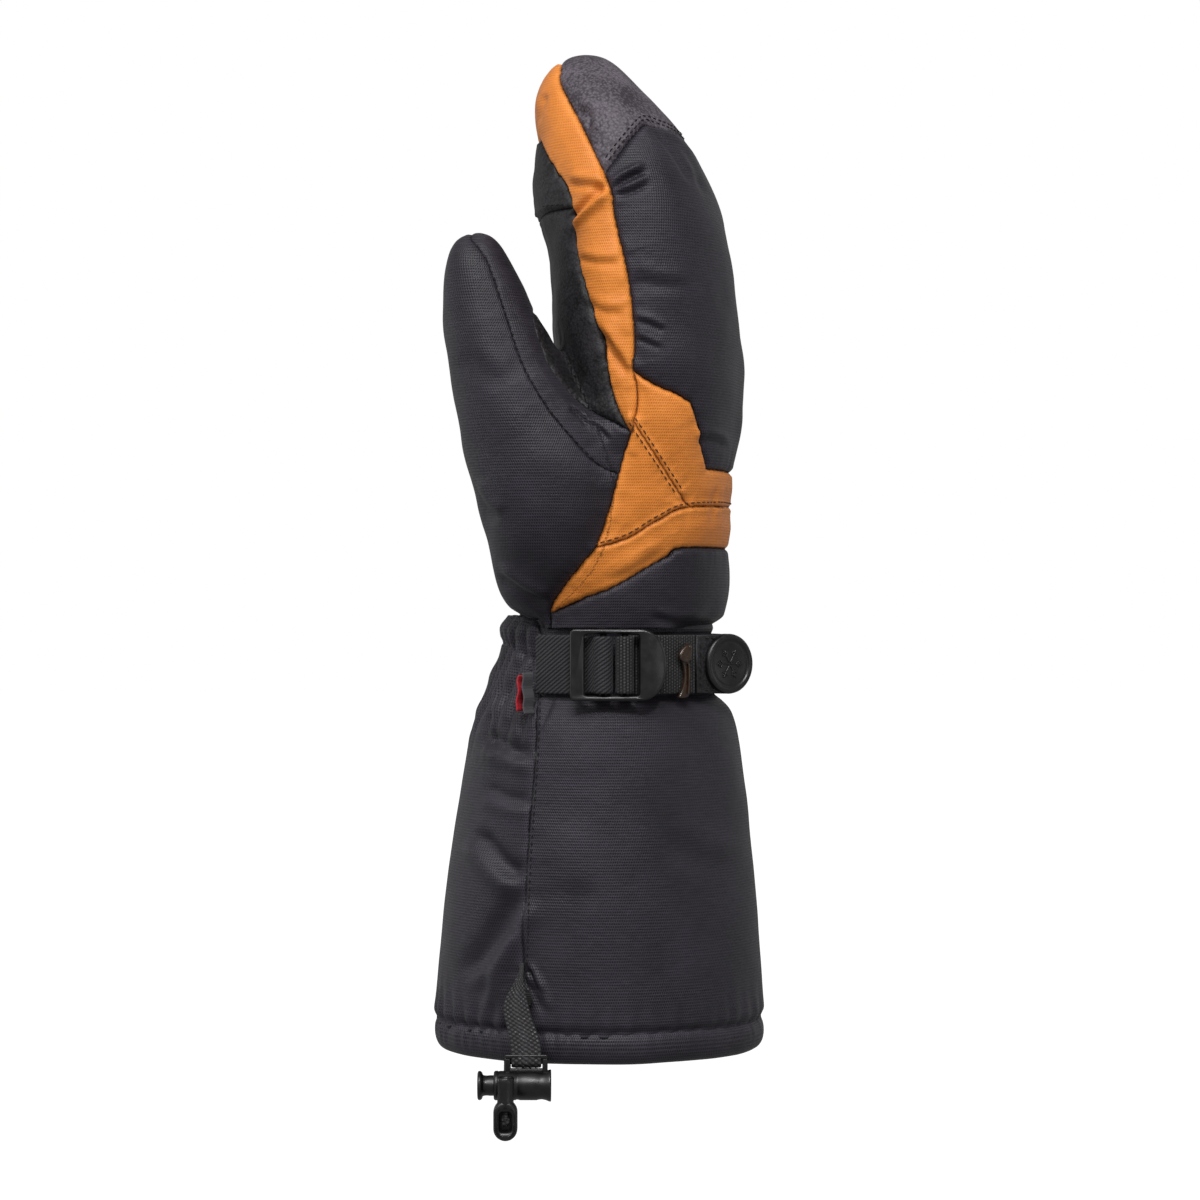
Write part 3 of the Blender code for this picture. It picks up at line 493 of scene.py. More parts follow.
def label_panels(bm, layer, panel, seeds):
    """Numbers the faces between the seams by seeds, each an x, the y beyond which the face lies, and a z.

    Scraps without a seed join the neighbour with which they share the longest edge.
    """
    bm.faces.ensure_lookup_table()
    bm.faces.index_update()
    region, count = np.full(len(bm.faces), -1), 0
    for face in bm.faces:
        if region[face.index] >= 0:
            continue
        region[face.index] = count
        stack = [face]
        while stack:
            for edge in stack.pop().edges:
                for other in [] if edge[layer] else edge.link_faces:
                    if region[other.index] < 0:
                        region[other.index] = count
                        stack.append(other)
        count += 1
    centres = np.array([f.calc_center_median()[:] for f in bm.faces])
    owner = np.full(count, -1)
    for number, spots in enumerate(seeds):
        for x, y, z in spots:
            away = np.hypot(centres[:, 0] - x, centres[:, 2] - z)
            away[centres[:, 1] * y < y * y] = np.inf
            owner[region[away.argmin()]] = number
    while (owner < 0).any():
        shared = Counter()
        for edge in bm.edges:
            if len(edge.link_faces) == 2:
                one, two = (region[f.index] for f in edge.link_faces)
                for bare, other in ((one, two), (two, one)):
                    if owner[bare] < 0 <= owner[other]:
                        shared[bare, owner[other]] += edge.calc_length()
        if not shared:
            break
        for (bare, number), _ in reversed(shared.most_common()):
            owner[bare] = number
    for face in bm.faces:
        face[panel] = int(owner[region[face.index]])


def seam_distances(mesh, panels):
    """For each point, the distance to the nearest seam and its nearest place. The mesh is in millimetres."""
    points = stored_points(mesh)
    loop_edges = stored(mesh.loops, "edge_index", np.int32)
    loop_panels = np.repeat(panels, stored(mesh.polygons, "loop_total", np.int32))
    low, high = np.full(len(mesh.edges), 999), np.full(len(mesh.edges), -1)
    np.minimum.at(low, loop_edges, loop_panels)
    np.maximum.at(high, loop_edges, loop_panels)
    border = edges_of(mesh)[high > low]
    one, two = points[border[:, 0]], points[border[:, 1]]
    samples = np.concatenate([one * (1 - t) + two * t for t in (0.0, 1 / 3, 2 / 3)])
    tree = KDTree(len(samples))
    for i, sample in enumerate(samples):
        tree.insert(sample, i)
    tree.balance()
    away, spot = np.empty(len(points)), np.empty((len(points), 3))
    for i, point in enumerate(points):
        spot[i], _, away[i] = tree.find(point)
    return away, spot


def subdivide(obj):
    modifier = obj.modifiers.new("smooth", "SUBSURF")
    modifier.levels = modifier.render_levels = 1
    return modifier


def subdivided(mesh):
    """The mesh after one smooth subdivision."""
    obj = linked("subdivided", mesh)
    subdivide(obj).boundary_smooth = "PRESERVE_CORNERS"
    made = apply_modifiers(obj)
    bpy.data.objects.remove(obj)
    return made


def face_corners(mesh):
    """The point numbers of every face, as a list of rows."""
    starts = stored(mesh.polygons, "loop_start", np.int32)
    return np.split(stored(mesh.loops, "vertex_index", np.int32), starts[1:])


def panel_object(name, points, faces, chosen, places, away):
    """One panel as its own object: the chosen faces, with a thickness inwards."""
    picked = [faces[i] for i in chosen]
    used = np.unique(np.concatenate(picked))
    number = np.full(len(points), -1)
    number[used] = np.arange(len(used))
    obj = new_object(name, points[used], [number[face] for face in picked], places[used])
    # the distance to the nearest seam, from which the shell's material paints shade into the seam groove and
    # a highlight on the ridge beside it
    give(obj.data, "seam", "FLOAT", away[used])
    solid = obj.modifiers.new("thickness", "SOLIDIFY")
    solid.thickness = PANEL_THICKNESS * MM
    solid.offset = -1
    return obj


# ---------------------------------------------------------------- folds
def fold(points, normals, line, depth, width, near=1):
    """How far a fold along a line lifts each point: a valley with a ridge on its left, seen from one side."""
    away, _, along, side = nearest_on_line(points[:, [0, 2]], line)
    share = along / distance_along(line)[-1]
    ends = ramp(share, 0.0, 0.25) * ramp(share, 1.0, 0.75)
    across = away * side
    shape = -bell(across, width) + 0.75 * bell(across - 1.7 * width, 1.1 * width)
    facing = ramp(-normals[:, 1] * near, 0.05, 0.4)
    return depth * shape * ends * facing * (away < 6 * width)


# ---------------------------------------------------------------- materials
def linear(r, g, b):
    """A colour from its 0 to 255 screen values."""
    shares = (c / 255 for c in (r, g, b))
    return (*(((s + 0.055) / 1.055) ** 2.4 if s > 10 / 255 else s / 12.92 for s in shares), 1.0)


class Look:
    """A material built from nodes. Texture coordinates are in millimetres."""

    def __init__(self, name):
        self.material = bpy.data.materials.new(name)
        self.material.use_nodes = True
        self.tree = self.material.node_tree
        self.shader = self.tree.nodes["Principled BSDF"]

    def node(self, kind, settings=None, inputs=None, output=0):
        made = self.tree.nodes.new("ShaderNode" + kind)
        for key, value in (settings or {}).items():
            setattr(made, key, value)
        for key, value in (inputs or {}).items():
            self.put(value, made.inputs[key])
        return made.outputs[output]

    def put(self, value, socket):
        if isinstance(value, bpy.types.NodeSocket):
            self.tree.links.new(value, socket)
        else:
            socket.default_value = value

    def calc(self, operation, a, b=0.0, c=0.0):
        return self.node("Math", {"operation": operation}, {0: a, 1: b, 2: c})

    def times_plus(self, a, b, c):
        return self.calc("MULTIPLY_ADD", a, b, c)

    def object_mm(self):
        place = self.node("TexCoord", output=3)
        return self.node("VectorMath", {"operation": "SCALE"}, {0: place, "Scale": 1 / MM})

    def cloth(self):
        return self.node("Attribute", {"attribute_name": "cloth"}, output=1)

    def split(self, place):
        made = self.tree.nodes.new("ShaderNodeSeparateXYZ")
        self.put(place, made.inputs[0])
        return made.outputs

    def noise(self, place, size, detail=2.0, roughness=0.5):
        """Noise from 0 to 1 with lumps of about that size in millimetres."""
        inputs = {"Vector": place, "Scale": 1 / size, "Detail": detail, "Roughness": roughness}
        return self.node("TexNoise", None, inputs)

    def wave(self, value, pitch, phase=0.0):
        """A sine of a length, from -1 to 1, that repeats each pitch."""
        return self.calc("SINE", self.times_plus(value, 2 * math.pi / pitch, phase))

    def mix(self, share, one, two):
        return self.node("Mix", {"data_type": "RGBA"}, {0: share, 6: one, 7: two}, output=2)

    def shade(self, share, dark, light):
        """A colour between dark and light, by a share that may run past 0 and 1."""
        return self.mix(self.node("Clamp", None, {0: share}), dark, light)

    def fit(self, value, low, high, to_low, to_high):
        inputs = {"Value": value, "From Min": low, "From Max": high, "To Min": to_low, "To Max": to_high}
        return self.node("MapRange", None, inputs)

    def cells(self, place, size, smoothness):
        """The distance from the middles of soft cells of about that size in millimetres."""
        inputs = {"Vector": place, "Scale": 1 / size, "Smoothness": smoothness}
        return self.node("TexVoronoi", {"feature": "SMOOTH_F1"}, inputs)

    def bump(self, height, depth, under=None):
        """A bump whose full height is depth millimetres."""
        inputs = {"Strength": 1.0, "Distance": depth * MM, "Height": height}
        if under is not None:
            inputs["Normal"] = under
        return self.node("Bump", None, inputs)

    def finish(self, colour, roughness, normal=None, **constants):
        self.put(colour, self.shader.inputs["Base Color"])
        self.put(roughness, self.shader.inputs["Roughness"])
        if normal is not None:
            self.put(normal, self.shader.inputs["Normal"])
        for name, value in constants.items():
            self.shader.inputs[name.replace("_", " ")].default_value = value
        return self.material


def woven(name, dark, light, pitch, depth, roughness, sheen, contrast=0.5):
    """Plain woven nylon: over and under in both directions, with thread and dye variation, lighter beside the
    seams as wear and as a painted highlight, and painted shade in the seam grooves.
    """
    look = Look(name)
    cloth = look.cloth()
    u, v, _ = look.split(cloth)
    wobble = look.noise(cloth, 9.0)
    u = look.times_plus(wobble, 0.5, u)
    weave = look.calc("MULTIPLY", look.wave(u, 0.8 * pitch), look.wave(v, 2 * pitch))
    ribs = look.wave(v, pitch, 1.1)
    height = look.times_plus(ribs, 0.17, look.times_plus(weave, 0.34, 0.5))
    stretched = look.node("VectorMath", {"operation": "MULTIPLY"}, {0: cloth, 1: (0.16, 2.2, 1.0)})
    streaks, patches = look.noise(stretched, 1.0, 3.0), look.noise(cloth, 24.0, 3.0)
    share = 0.42
    for change, amount in ((height, 1.6), (streaks, 1.0), (patches, 0.9)):
        share = look.times_plus(look.calc("SUBTRACT", change, 0.5), contrast * amount, share)
    near_seam = look.node("Attribute", {"attribute_name": "seam"}, output=2)
    # Lighter from 0.6 to 3.2 mm off a seam, on the ridge beside it: wear, and a painted highlight.
    share = look.times_plus(look.fit(near_seam, 0.6, 3.2, 1.0, 0.0), 0.16, share)
    # Painted shade in the seam groove: within 0.7 mm of a seam the colour is mixed towards a darker shade.
    painted_seam_shade = tuple(0.35 * c for c in dark[:3]) + (1.0,)
    colour = look.mix(look.fit(near_seam, 0.1, 0.7, 0.7, 0.0), look.shade(share, dark, light), painted_seam_shade)
    rough = look.fit(patches, 0.3, 0.7, roughness - 0.05, roughness + 0.06)
    normal = look.bump(height, depth, look.bump(look.noise(cloth, 2.4, 3.0), 0.16))
    return look.finish(
        colour, rough, normal, Sheen_Weight=sheen, Sheen_Roughness=0.45, Specular_IOR_Level=0.3
    )


def leather(name, dark, light, roughness):
    """Grained synthetic leather: pebbled cells, fine pores, and a worn sheen."""
    look = Look(name)
    place = look.object_mm()
    shift = look.node("TexNoise", None, {"Vector": place, "Scale": 0.9}, output=1)
    warped = look.node("VectorMath", {"operation": "ADD"}, {0: place, 1: shift})
    pebbles, pores = look.calc("SUBTRACT", 1.0, look.cells(warped, 0.95, 0.3)), look.noise(place, 0.35)
    height = look.times_plus(pores, 0.25, pebbles)
    patches = look.noise(place, 14.0, 4.0)
    share = look.times_plus(look.calc("SUBTRACT", height, 0.7), 0.9, look.fit(patches, 0.3, 0.7, 0.1, 0.6))
    rough = look.fit(patches, 0.3, 0.7, roughness - 0.06, roughness + 0.08)
    normal = look.bump(height, 0.12, look.bump(look.noise(place, 3.6, 4.0, 0.6), 0.3))
    return look.finish(look.shade(share, dark, light), rough, normal, Specular_IOR_Level=0.36)


def moulded(name, dark, light, roughness, **constants):
    """Injection moulded plastic with a fine spark-eroded texture and handling marks."""
    look = Look(name)
    place = look.object_mm()
    fine, marks = look.noise(place, 0.22), look.noise(place, 4.0, 5.0, 0.65)
    colour = look.mix(look.fit(marks, 0.35, 0.7, 0.0, 1.0), dark, light)
    rough = look.fit(marks, 0.3, 0.7, roughness - 0.05, roughness + 0.1)
    return look.finish(colour, rough, look.bump(fine, 0.02, look.bump(marks, 0.012)), **constants)


def webbing(name, dark, light, fleck):
    """Webbing and twill threads: fine strands along the cloth, painted shade in the grooves of the relief and
    painted light on its ribs, and pale flecks on the raised ribs.
    """
    look = Look(name)
    cloth = look.cloth()
    u, v, rise = look.split(cloth)
    strands = look.wave(look.calc("ADD", u, look.calc("MULTIPLY", look.noise(cloth, 0.8), 0.25)), 0.34)
    weft = look.wave(v, 0.9)
    share = look.times_plus(weft, 0.08, look.times_plus(look.noise(cloth, 1.6, 4.0), 0.5, -0.3))
    share = look.times_plus(strands, 0.1, share)
    # Painted shade and light: the colour follows the relief, dark in its grooves and light on its ribs.
    share = look.times_plus(rise, 1.95, look.calc("SUBTRACT", share, 0.5))
    spots = look.node("TexVoronoi", None, {"Vector": cloth, "Scale": 1 / 0.62})
    on_ribs = look.fit(rise, 0.55, 0.95, 0.0, 0.8)
    flecks = look.calc("MULTIPLY", look.fit(spots, 0.12, 0.3, 1.0, 0.0), on_ribs)
    colour = look.mix(flecks, look.shade(share, dark, light), fleck)
    normal = look.bump(look.times_plus(strands, 0.35, look.calc("MULTIPLY", weft, 0.2)), 0.07)
    return look.finish(
        colour, 0.68, normal, Sheen_Weight=0.05, Sheen_Roughness=0.5, Specular_IOR_Level=0.3
    )


def fleece(name, dark, light):
    """Pile or wadding: soft tufts with fine fibres."""
    look = Look(name)
    place = look.object_mm()
    tufts = look.calc("SUBTRACT", 1.0, look.cells(place, 1.9, 0.6))
    height = look.times_plus(look.noise(place, 0.4, 4.0, 0.7), 0.6, tufts)
    colour = look.mix(look.fit(height, 0.6, 1.3, 0.0, 1.0), dark, light)
    return look.finish(colour, 0.95, look.bump(height, 0.7), Sheen_Weight=0.7, Sheen_Roughness=0.6)


BLACK = woven("shell_black", linear(4, 3, 6), linear(53, 48, 59), 1.0, 0.16, 0.5, 0.03, 0.85)
ORANGE = woven("shell_orange", linear(174, 92, 20), linear(240, 151, 66), 1.0, 0.14, 0.5, 0.03, 0.36)
LEATHER = leather("palm_leather", linear(12, 11, 13), linear(48, 45, 49), 0.56)
# a lighter copy of the palm's leather for the fingertip cap: painted light, as if the top were lit from above
LIT_CAP_LEATHER = leather("cap_leather_painted_light", linear(46, 41, 47), linear(114, 105, 115), 0.6)
PLASTIC = moulded("black_plastic", linear(4, 4, 5), linear(15, 15, 16), 0.34)
SMOKE = moulded(
    "smoke_plastic", linear(38, 24, 14), linear(62, 42, 26), 0.26, Transmission_Weight=0.25, IOR=1.49
)
WEB = webbing("black_webbing", linear(3, 3, 4), linear(58, 57, 59), linear(150, 148, 150))
TETHER = webbing("tether_braid", linear(2, 2, 2), linear(58, 56, 59), linear(190, 188, 190))
TWILL = webbing("black_elastic", linear(3, 3, 4), linear(50, 49, 53), linear(80, 78, 84))
THREAD = webbing("black_thread", linear(4, 4, 5), linear(22, 21, 25), linear(40, 38, 44))
ORANGE_THREAD = webbing("orange_thread", linear(52, 24, 8), linear(104, 58, 22), linear(130, 76, 34))
RED = webbing("red_ribbon", linear(170, 20, 36), linear(232, 60, 76), linear(230, 90, 96))
GREY = webbing("grey_ribbon", linear(70, 70, 74), linear(176, 176, 180), linear(180, 180, 184))
FLEECE = fleece("fleece", linear(22, 21, 25), linear(62, 60, 68))
LINING = woven("lining_knit", linear(22, 22, 26), linear(58, 57, 64), 1.1, 0.2, 0.75, 0.3)
WADDING = fleece("wadding", linear(24, 24, 26), linear(54, 54, 57))
STEEL = moulded("spring_steel", linear(150, 100, 70), linear(205, 150, 110), 0.26, Metallic=1.0)


def wear(obj, material):
    obj.data.materials.clear()
    obj.data.materials.append(material)


def soft_piece(obj, material, slot, node, body="mitten", fill=None):
    """Gives a piece its material, and lets it stand for a CAD node. The fill is not used."""
    wear(obj, material)
    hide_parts(node)
    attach(obj, body)


# ---------------------------------------------------------------- hand and thumb
HAND_ROWS, THUMB_ROWS, CUFF_ROWS = dense_rows(HAND, 150), dense_rows(THUMB, 120), dense_rows(CUFF, 120)


def off_hand(points):
    return outside(HAND_ROWS, HAND_POWER, points)


def off_thumb(points):
    return outside(THUMB_ROWS, THUMB_POWER, points)


def thumb_gap(points):
    """Negative where the thumb is the outermost body, and positive where the hand is."""
    return off_thumb(points) - off_hand(points)


def hand_mesh():
    """The hand and the thumb as one skin in millimetres, smoothed where the thumb leaves the near side."""
    points, faces = loft(np.vstack([HAND_ROWS, HAND_ROWS[-1] - [7, 0, 0, 0, 0]]), HAND_POWER, 140)
    more, extra = loft(THUMB_ROWS, THUMB_POWER, 90)
    obj = new_object("skin", np.vstack([points, more]), faces + [face + len(points) for face in extra])
    remesh = obj.modifiers.new("remesh", "REMESH")
    remesh.mode = "VOXEL"
    remesh.voxel_size = 1.6 * MM
    mesh = apply_modifiers(obj)
    bpy.data.objects.remove(obj)
    points, edges = points_of(mesh), edges_of(mesh)
    junction = bell(off_hand(points), 5) * bell(off_thumb(points), 5)
    near = ramp(points[:, 1], -22, -34) * ramp(points[:, 2], 232, 218)
    points = smooth_points(points, edges, 0.75 * junction * near, 60)
    points = smooth_points(points, edges, 0.25 + 0.45 * junction, 4)
    mesh.vertices.foreach_set("co", points.ravel().astype(np.float32))
    return mesh


def above_pad_seam(points):
    """All but the near side below the pad seam, where the thumb's cloth runs on to the knuckle band."""
    seam_z = np.interp(points[:, 0], [-24, -19, -15, -9, 0, 13], [262, 247, 239, 232, 224, 217])
    return (points[:, 1] > THUMB_REACH - 2.5) | (points[:, 2] > seam_z - 2.0)


def palm_foot(points):
    """Where the thumb's cloth and the palm's leather meet below the thumb."""
    return (points[:, 0] < 0) & (points[:, 2] < 172)


def sew_hand():
    """The hand's skin, cut off at the wrist and along its seams, with its faces numbered by panel."""
    mesh = hand_mesh()
    with edited(mesh) as bm:
        geometry = bm.verts[:] + bm.edges[:] + bm.faces[:]
        wrist = {"plane_co": (0, 0, WRIST_EDGE), "plane_no": (0, 0, -1)}
        bmesh.ops.bisect_plane(bm, geom=geometry, clear_outer=True, **wrist)
        layer, panel = seam_layers(bm)
        cut_field(bm, layer, thumb_gap, 1, above_pad_seam)
        cut_field(bm, layer, lambda points: points[:, 1] - THUMB_REACH, 2, palm_foot)
        for number, (line, where) in enumerate(HAND_SEAMS):
            cut_seam(bm, layer, rounded(line), number + 3, where)
        label_panels(bm, layer, panel, [seeds for _, seeds in HAND_PANELS])
    return mesh


THUMB_REACH = -30.0  # on the near side of this y, the thumb's cloth covers the heel of the hand too
WRIST_EDGE = 150.4  # the height at which the hand's shell ends, inside the cuff
PANEL_THICKNESS = 0.9


def thumb_part(points):
    """Where the thumb's own seams cut: on the thumb, and on the near side next to it."""
    return (thumb_gap(points) < 1.0) | (points[:, 1] < -34)


def hand_part(points):
    """Where the palm's seams cut: not on the thumb's free end."""
    return (thumb_gap(points) > -1.0) | (points[:, 0] > -25)


HAND_SEAMS = [
    (THUMB_SEAM, thumb_part), (THUMB_PAD_SEAM[:5] + [(0, 224), (13, 217)], thumb_part),
    (GUSSET_BACK, None), (GUSSET_PALM, hand_part), (GUSSET_END, None), (BAND_TOP, None),
    (BAND_DIAGONAL, None), (BAND_CHEVRON, None), (BAND_BOTTOM, None), (BAND_PALM, hand_part),
    (CAP_EDGE, None), (PATCH_EDGE, hand_part),
]
NEAR, FAR = -20, 20  # a panel's near faces lie before the first y, and its far faces beyond the second
# name, and seeds
HAND_PANELS = [
    ("palm_panel", [(-11, NEAR, 270), (-11, FAR, 270)]),
    ("finger_gusset", [(1, NEAR, 270), (1, FAR, 270)]),
    ("back_panel", [(30, NEAR, 285), (30, FAR, 285)]),
    ("fingertip_cap", [(12, NEAR, 340), (12, FAR, 340)]),
    ("knuckle_band_thumb_side", [(14, NEAR, 197)]),
    ("knuckle_band_little_side", [(14, FAR, 197)]),
    ("knuckle_band_back", [(30, NEAR, 212), (30, FAR, 212)]),
    ("knuckle_band_lower", [(22, NEAR, 180), (22, FAR, 180)]),
    ("wrist_back_panel", [(20, NEAR, 160), (20, FAR, 160)]),
    ("thumb_outer_panel", [(-46, NEAR, 230)]),
    ("thumb_inner_panel", [(-24.5, NEAR, 249)]),
    ("thumb_pad", [(-17, NEAR, 247)]),
    ("palm_tip_patch", [(-18, NEAR, 306), (-18, FAR, 306)]),
]
FROM_PALM = ("palm_panel", "palm_tip_patch", "finger_gusset", "thumb_outer_panel", "cuff_palm_panel")
ORANGE_PANELS = [name for name, _ in HAND_PANELS if "gusset" in name or "band" in name]
FINISHES = {  # the other panels are black shell
    # the cap wears the lighter leather, whose extra lightness is painted light
    "fingertip_cap": (LIT_CAP_LEATHER, "leather"),
    **dict.fromkeys(("palm_panel", "palm_tip_patch", "thumb_pad"), (LEATHER, "leather")),
    **dict.fromkeys(ORANGE_PANELS, (ORANGE, "orange")),
}
# folds seen from the side: points (x, z), depth, width. The ridge is on the line's left.
HAND_FOLDS = [
    ([(-10.5, 289), (-3, 295), (4.5, 301.5)], -1.9, 1.5), ([(-2, 255), (4, 246), (10.7, 235.6)], 1.5, 1.9),
    ([(-8.6, 278.7), (0, 276), (8.5, 275.2)], 0.6, 1.6), ([(-6, 263), (2, 259), (10, 258)], 0.6, 1.8),
    ([(-12, 304.5), (-4, 303), (3.5, 301)], 0.9, 1.7), ([(-21.5, 328), (-19.5, 333), (-18, 339)], 1.1, 1.5),
    ([(4.2, 300.5), (9, 304.5), (17, 308)], 1.4, 1.2), ([(4.4, 299.5), (10, 300), (18, 303.5)], 1.1, 1.2),
    ([(17, 325), (25.2, 315.2), (32, 303)], 1.1, 1.7), ([(20, 324.5), (29.3, 315), (37, 300)], 0.9, 1.6),
    ([(11, 256), (16, 255), (23, 252)], 0.9, 1.1), ([(11.5, 250), (16, 248.5), (21.5, 246)], 0.8, 1.0),
    ([(9.5, 272), (20, 268), (33, 268)], 0.5, 2.4), ([(-9, 332), (-3.5, 328.5), (-4, 321)], 1.4, 1.7),
    ([(-37, 171), (-27.6, 163.8), (-17, 158)], 1.5, 2.0), ([(-45, 201), (-40, 193), (-33, 187)], 0.9, 2.3),
    ([(-10.5, 226.5), (-7, 224), (-3, 219.5)], 0.9, 0.9), ([(-4, 221.5), (0, 219), (4, 214.5)], 0.7, 0.9),
    ([(-48, 246), (-40, 238), (-30, 234)], 0.5, 4.0), ([(16, 155), (26, 152.5), (38, 152.5)], 0.5, 1.6),
    ([(33, 214), (38, 216), (46, 214)], 0.8, 1.5), ([(2, 166), (12, 170), (24, 178)], 0.5, 2.0),
]
CUFF_FOLDS = [
    ([(-24.5, 64), (-32, 68), (-43, 80)], 1.9, 3.2), ([(-26, 61), (-35.4, 45), (-48, 26)], 2.1, 3.4),
    ([(-28, 51), (-37, 35), (-41.9, 18)], 1.2, 2.4), ([(-22.2, 106), (-30, 108), (-41, 113)], 1.2, 2.6),
    ([(-23, 91), (-30, 91), (-40, 95)], 0.9, 2.4), ([(-31, 120), (-37, 112), (-44, 106)], 0.5, 3.2),
    ([(-19, 62), (-10, 58), (2, 60)], 0.2, 4.0), ([(-18, 100), (-8, 97), (8, 99)], 0.15, 4.5),
    ([(-27, 30), (-22, 24), (-19, 17)], 0.9, 1.6), ([(-25.5, 34), (-22.6, 29.5), (-20, 24)], 1.3, 0.9),
    ([(20, 80), (34, 70), (50, 66)], 0.5, 4.5),
]


def puckers(spot, away, coarse, fine, reach):
    """Small swellings beside a seam that follow it. Coarse and fine are each an amount and a size."""
    sway = coarse[0] * lumps(spot, coarse[1], 1) + fine[0] * lumps(spot, fine[1], 2)
    return sway * np.exp(-away / reach) * ramp(away, 0.2, 1.6)


def near_line(places, line, width):
    return bell(nearest_on_line(places, rounded(line))[0], width)


def side_folds(points, normals, folds):
    """The folds on the near side, and weaker ones a little higher on the far side."""
    lift = np.zeros(len(points))
    for line, depth, width in folds:
        line = rounded(line)
        lift += fold(points, normals, line, depth, width)
        lift += fold(points, normals, line + (0.0, 4.0), 0.75 * depth, 1.2 * width, -1)
    return lift


def read_panels(mesh):
    return stored(mesh.attributes["panel"].data, "value", np.int32)


def soft_panels(mesh, names, points, cloth, away):
    """The panels of a sewn mesh as pieces. Their cloth is measured from the back or from the palm."""
    panels, faces, made = read_panels(mesh), face_corners(mesh), []
    for number, name in enumerate(names):
        places, chosen = cloth[name in FROM_PALM], np.nonzero(panels == number)[0]
        piece = panel_object(name + "_skin", points, faces, chosen, places, away)
        soft_piece(piece, *FINISHES.get(name, (BLACK, "shell")), name, fill=0.55)
        made.append(piece)
    return made


def make_hand():
    """The hand's panels, swollen between their seams and folded as in the photo."""
    mesh = subdivided(sew_hand())
    points, normals = stored_points(mesh), normals_of(mesh)
    away, spot = seam_distances(mesh, read_panels(mesh))
    side_view, tight = points[:, [0, 2]], np.ones(len(points))
    for line in (THUMB_SEAM, THUMB_PAD_SEAM[:5]):
        tight -= 0.62 * near_line(side_view, line, 5) * ramp(points[:, 2], 150, 175)
    lift = tight * (1.5 * (1 - np.exp(-away / 7)) - 1.0 * bell(away, 0.8)) - 0.5
    for line, high in ((BAND_DIAGONAL[1:-1], 1.2), (BAND_CHEVRON[1:], 0.9), ([(-22, 297.4), (-9, 297)], 0.5)):
        lift += high * near_line(side_view, line, 1.7)
    bulge = 0.4 * ramp(points[:, 2], 296.6, 298) + 1.9 * ramp(points[:, 2], 286, 297)
    lift += bulge * ramp(points[:, 0], -12, -18) * ramp(points[:, 2], 330, 302)
    lift += puckers(spot, away, (0.6, 4.5), (0.3, 2.4), 4.5) * tight
    lift += 1.0 * lumps(points / (1, 1, 1.5), 26, 3) + 0.4 * lumps(points, 11, 4)
    lift += 1.25 * side_folds(points, normals, HAND_FOLDS)
    points = points + normals * lift[:, None]
    points[:, 0] += 4.5 * ramp(points[:, 2], 158, 151) * ramp(points[:, 0], -14, -26)
    points[:, 0] -= 4.2 * ramp(points[:, 2], 155.4, 150.2) ** 1.4 * ramp(points[:, 0], 22, 34)
    on_thumb = thumb_gap(points) < 0
    cloth = cloth_places(HAND_ROWS, HAND_POWER, points)
    for places, on_it in zip(cloth, cloth_places(THUMB_ROWS, THUMB_POWER, points[on_thumb])):
        places[on_thumb] = on_it
    return soft_panels(mesh, [name for name, _ in HAND_PANELS], points, cloth, away)


# ---------------------------------------------------------------- cuff, hem and linings
def make_cuff():
    """The cuff's two panels: a tube, gathered on the palm's side, whose ends turn inwards."""
    sides, levels, top, foot = 400, 160, 153.5, 9.5
    rows = np.vstack([[top, 4.4, 34.6, 0, 36.6], CUFF_ROWS, [foot, 0.2, 58.0, 0, 52.0]])
    heights = np.linspace(top, foot, levels)
    levelled = zip(heights, *row_at(rows, heights))
    points = np.concatenate([rim(row, CUFF_POWER, circle(sides, 0.5)) for row in levelled])
    mesh = bpy.data.meshes.new("cuff")
    mesh.from_pydata(points.tolist(), [], tube_grid(levels, sides).tolist())
    with edited(mesh) as bm:
        layer, panel = seam_layers(bm)
        cut_seam(bm, layer, rounded(CUFF_SIDE), 1)
        label_panels(bm, layer, panel, [[(-34, NEAR, 80), (-34, FAR, 80)], [(10, NEAR, 80), (10, FAR, 80)]])
    points, normals = stored_points(mesh), normals_of(mesh)
    away, spot = seam_distances(mesh, read_panels(mesh))
    cloth = cloth_places(rows, CUFF_POWER, points)
    from_back, from_palm = cloth[0][:, 0], cloth[1][:, 0]
    z, palm_side = points[:, 2], ramp(points[:, 0], -12, -26)
    lift = -0.35 * bell(away, 0.7) + 0.9 * (1 - np.exp(-away / 9)) - 0.5
    lift += puckers(spot, away, (0.45, 5), (0.2, 2.5), 5)
    lift += 0.8 * lumps(points / (1, 1, 1.7), 34, 3) + 0.25 * lumps(points, 12, 4)
    lift += 1.35 * side_folds(points, normals, CUFF_FOLDS)
    gathered = palm_side * ramp(z, 100, 128) * ramp(z, 156, 148)
    pleat = from_palm * 2 * np.pi / 7.0 + 2.8 * lumps(points / (1, 1, 1.9), 10, 6)
    lift += gathered * 2.2 * (np.abs(np.sin(pleat / 2)) ** 0.8 - 0.6) + gathered * 0.7 * lumps(points, 6, 8)
    lift += 2.6 * ramp(points[:, 0], -16, -26) * ramp(z, 143, 150)
    stitched = bell(z - (144.5 - 0.5 * (points[:, 0] + 33)), 1.1)
    lift -= 0.9 * stitched * palm_side * (points[:, 2] > 126)
    under_strap = ramp(z, 124, 128) * ramp(z, 151, 147) * (1 - palm_side)
    lift = lift * (1 - 0.9 * under_strap) - 0.6 * under_strap
    shift = 2.2 * lumps(points / (1, 1, 3), 10, 7)
    for length, share in ((from_back, 0.35 * (1 - palm_side)), (from_palm, 0.85 * palm_side)):
        lift += share * np.sin(length * 2 * np.pi / 7.5 + shift) * bell(z - 11, 9)
    lift -= 1.2 * bell(z - 11.2, 1.6)
    points = points + normals * lift[:, None]
    return soft_panels(mesh, ["cuff_palm_panel", "cuff_back_panel"], points, cloth, away)


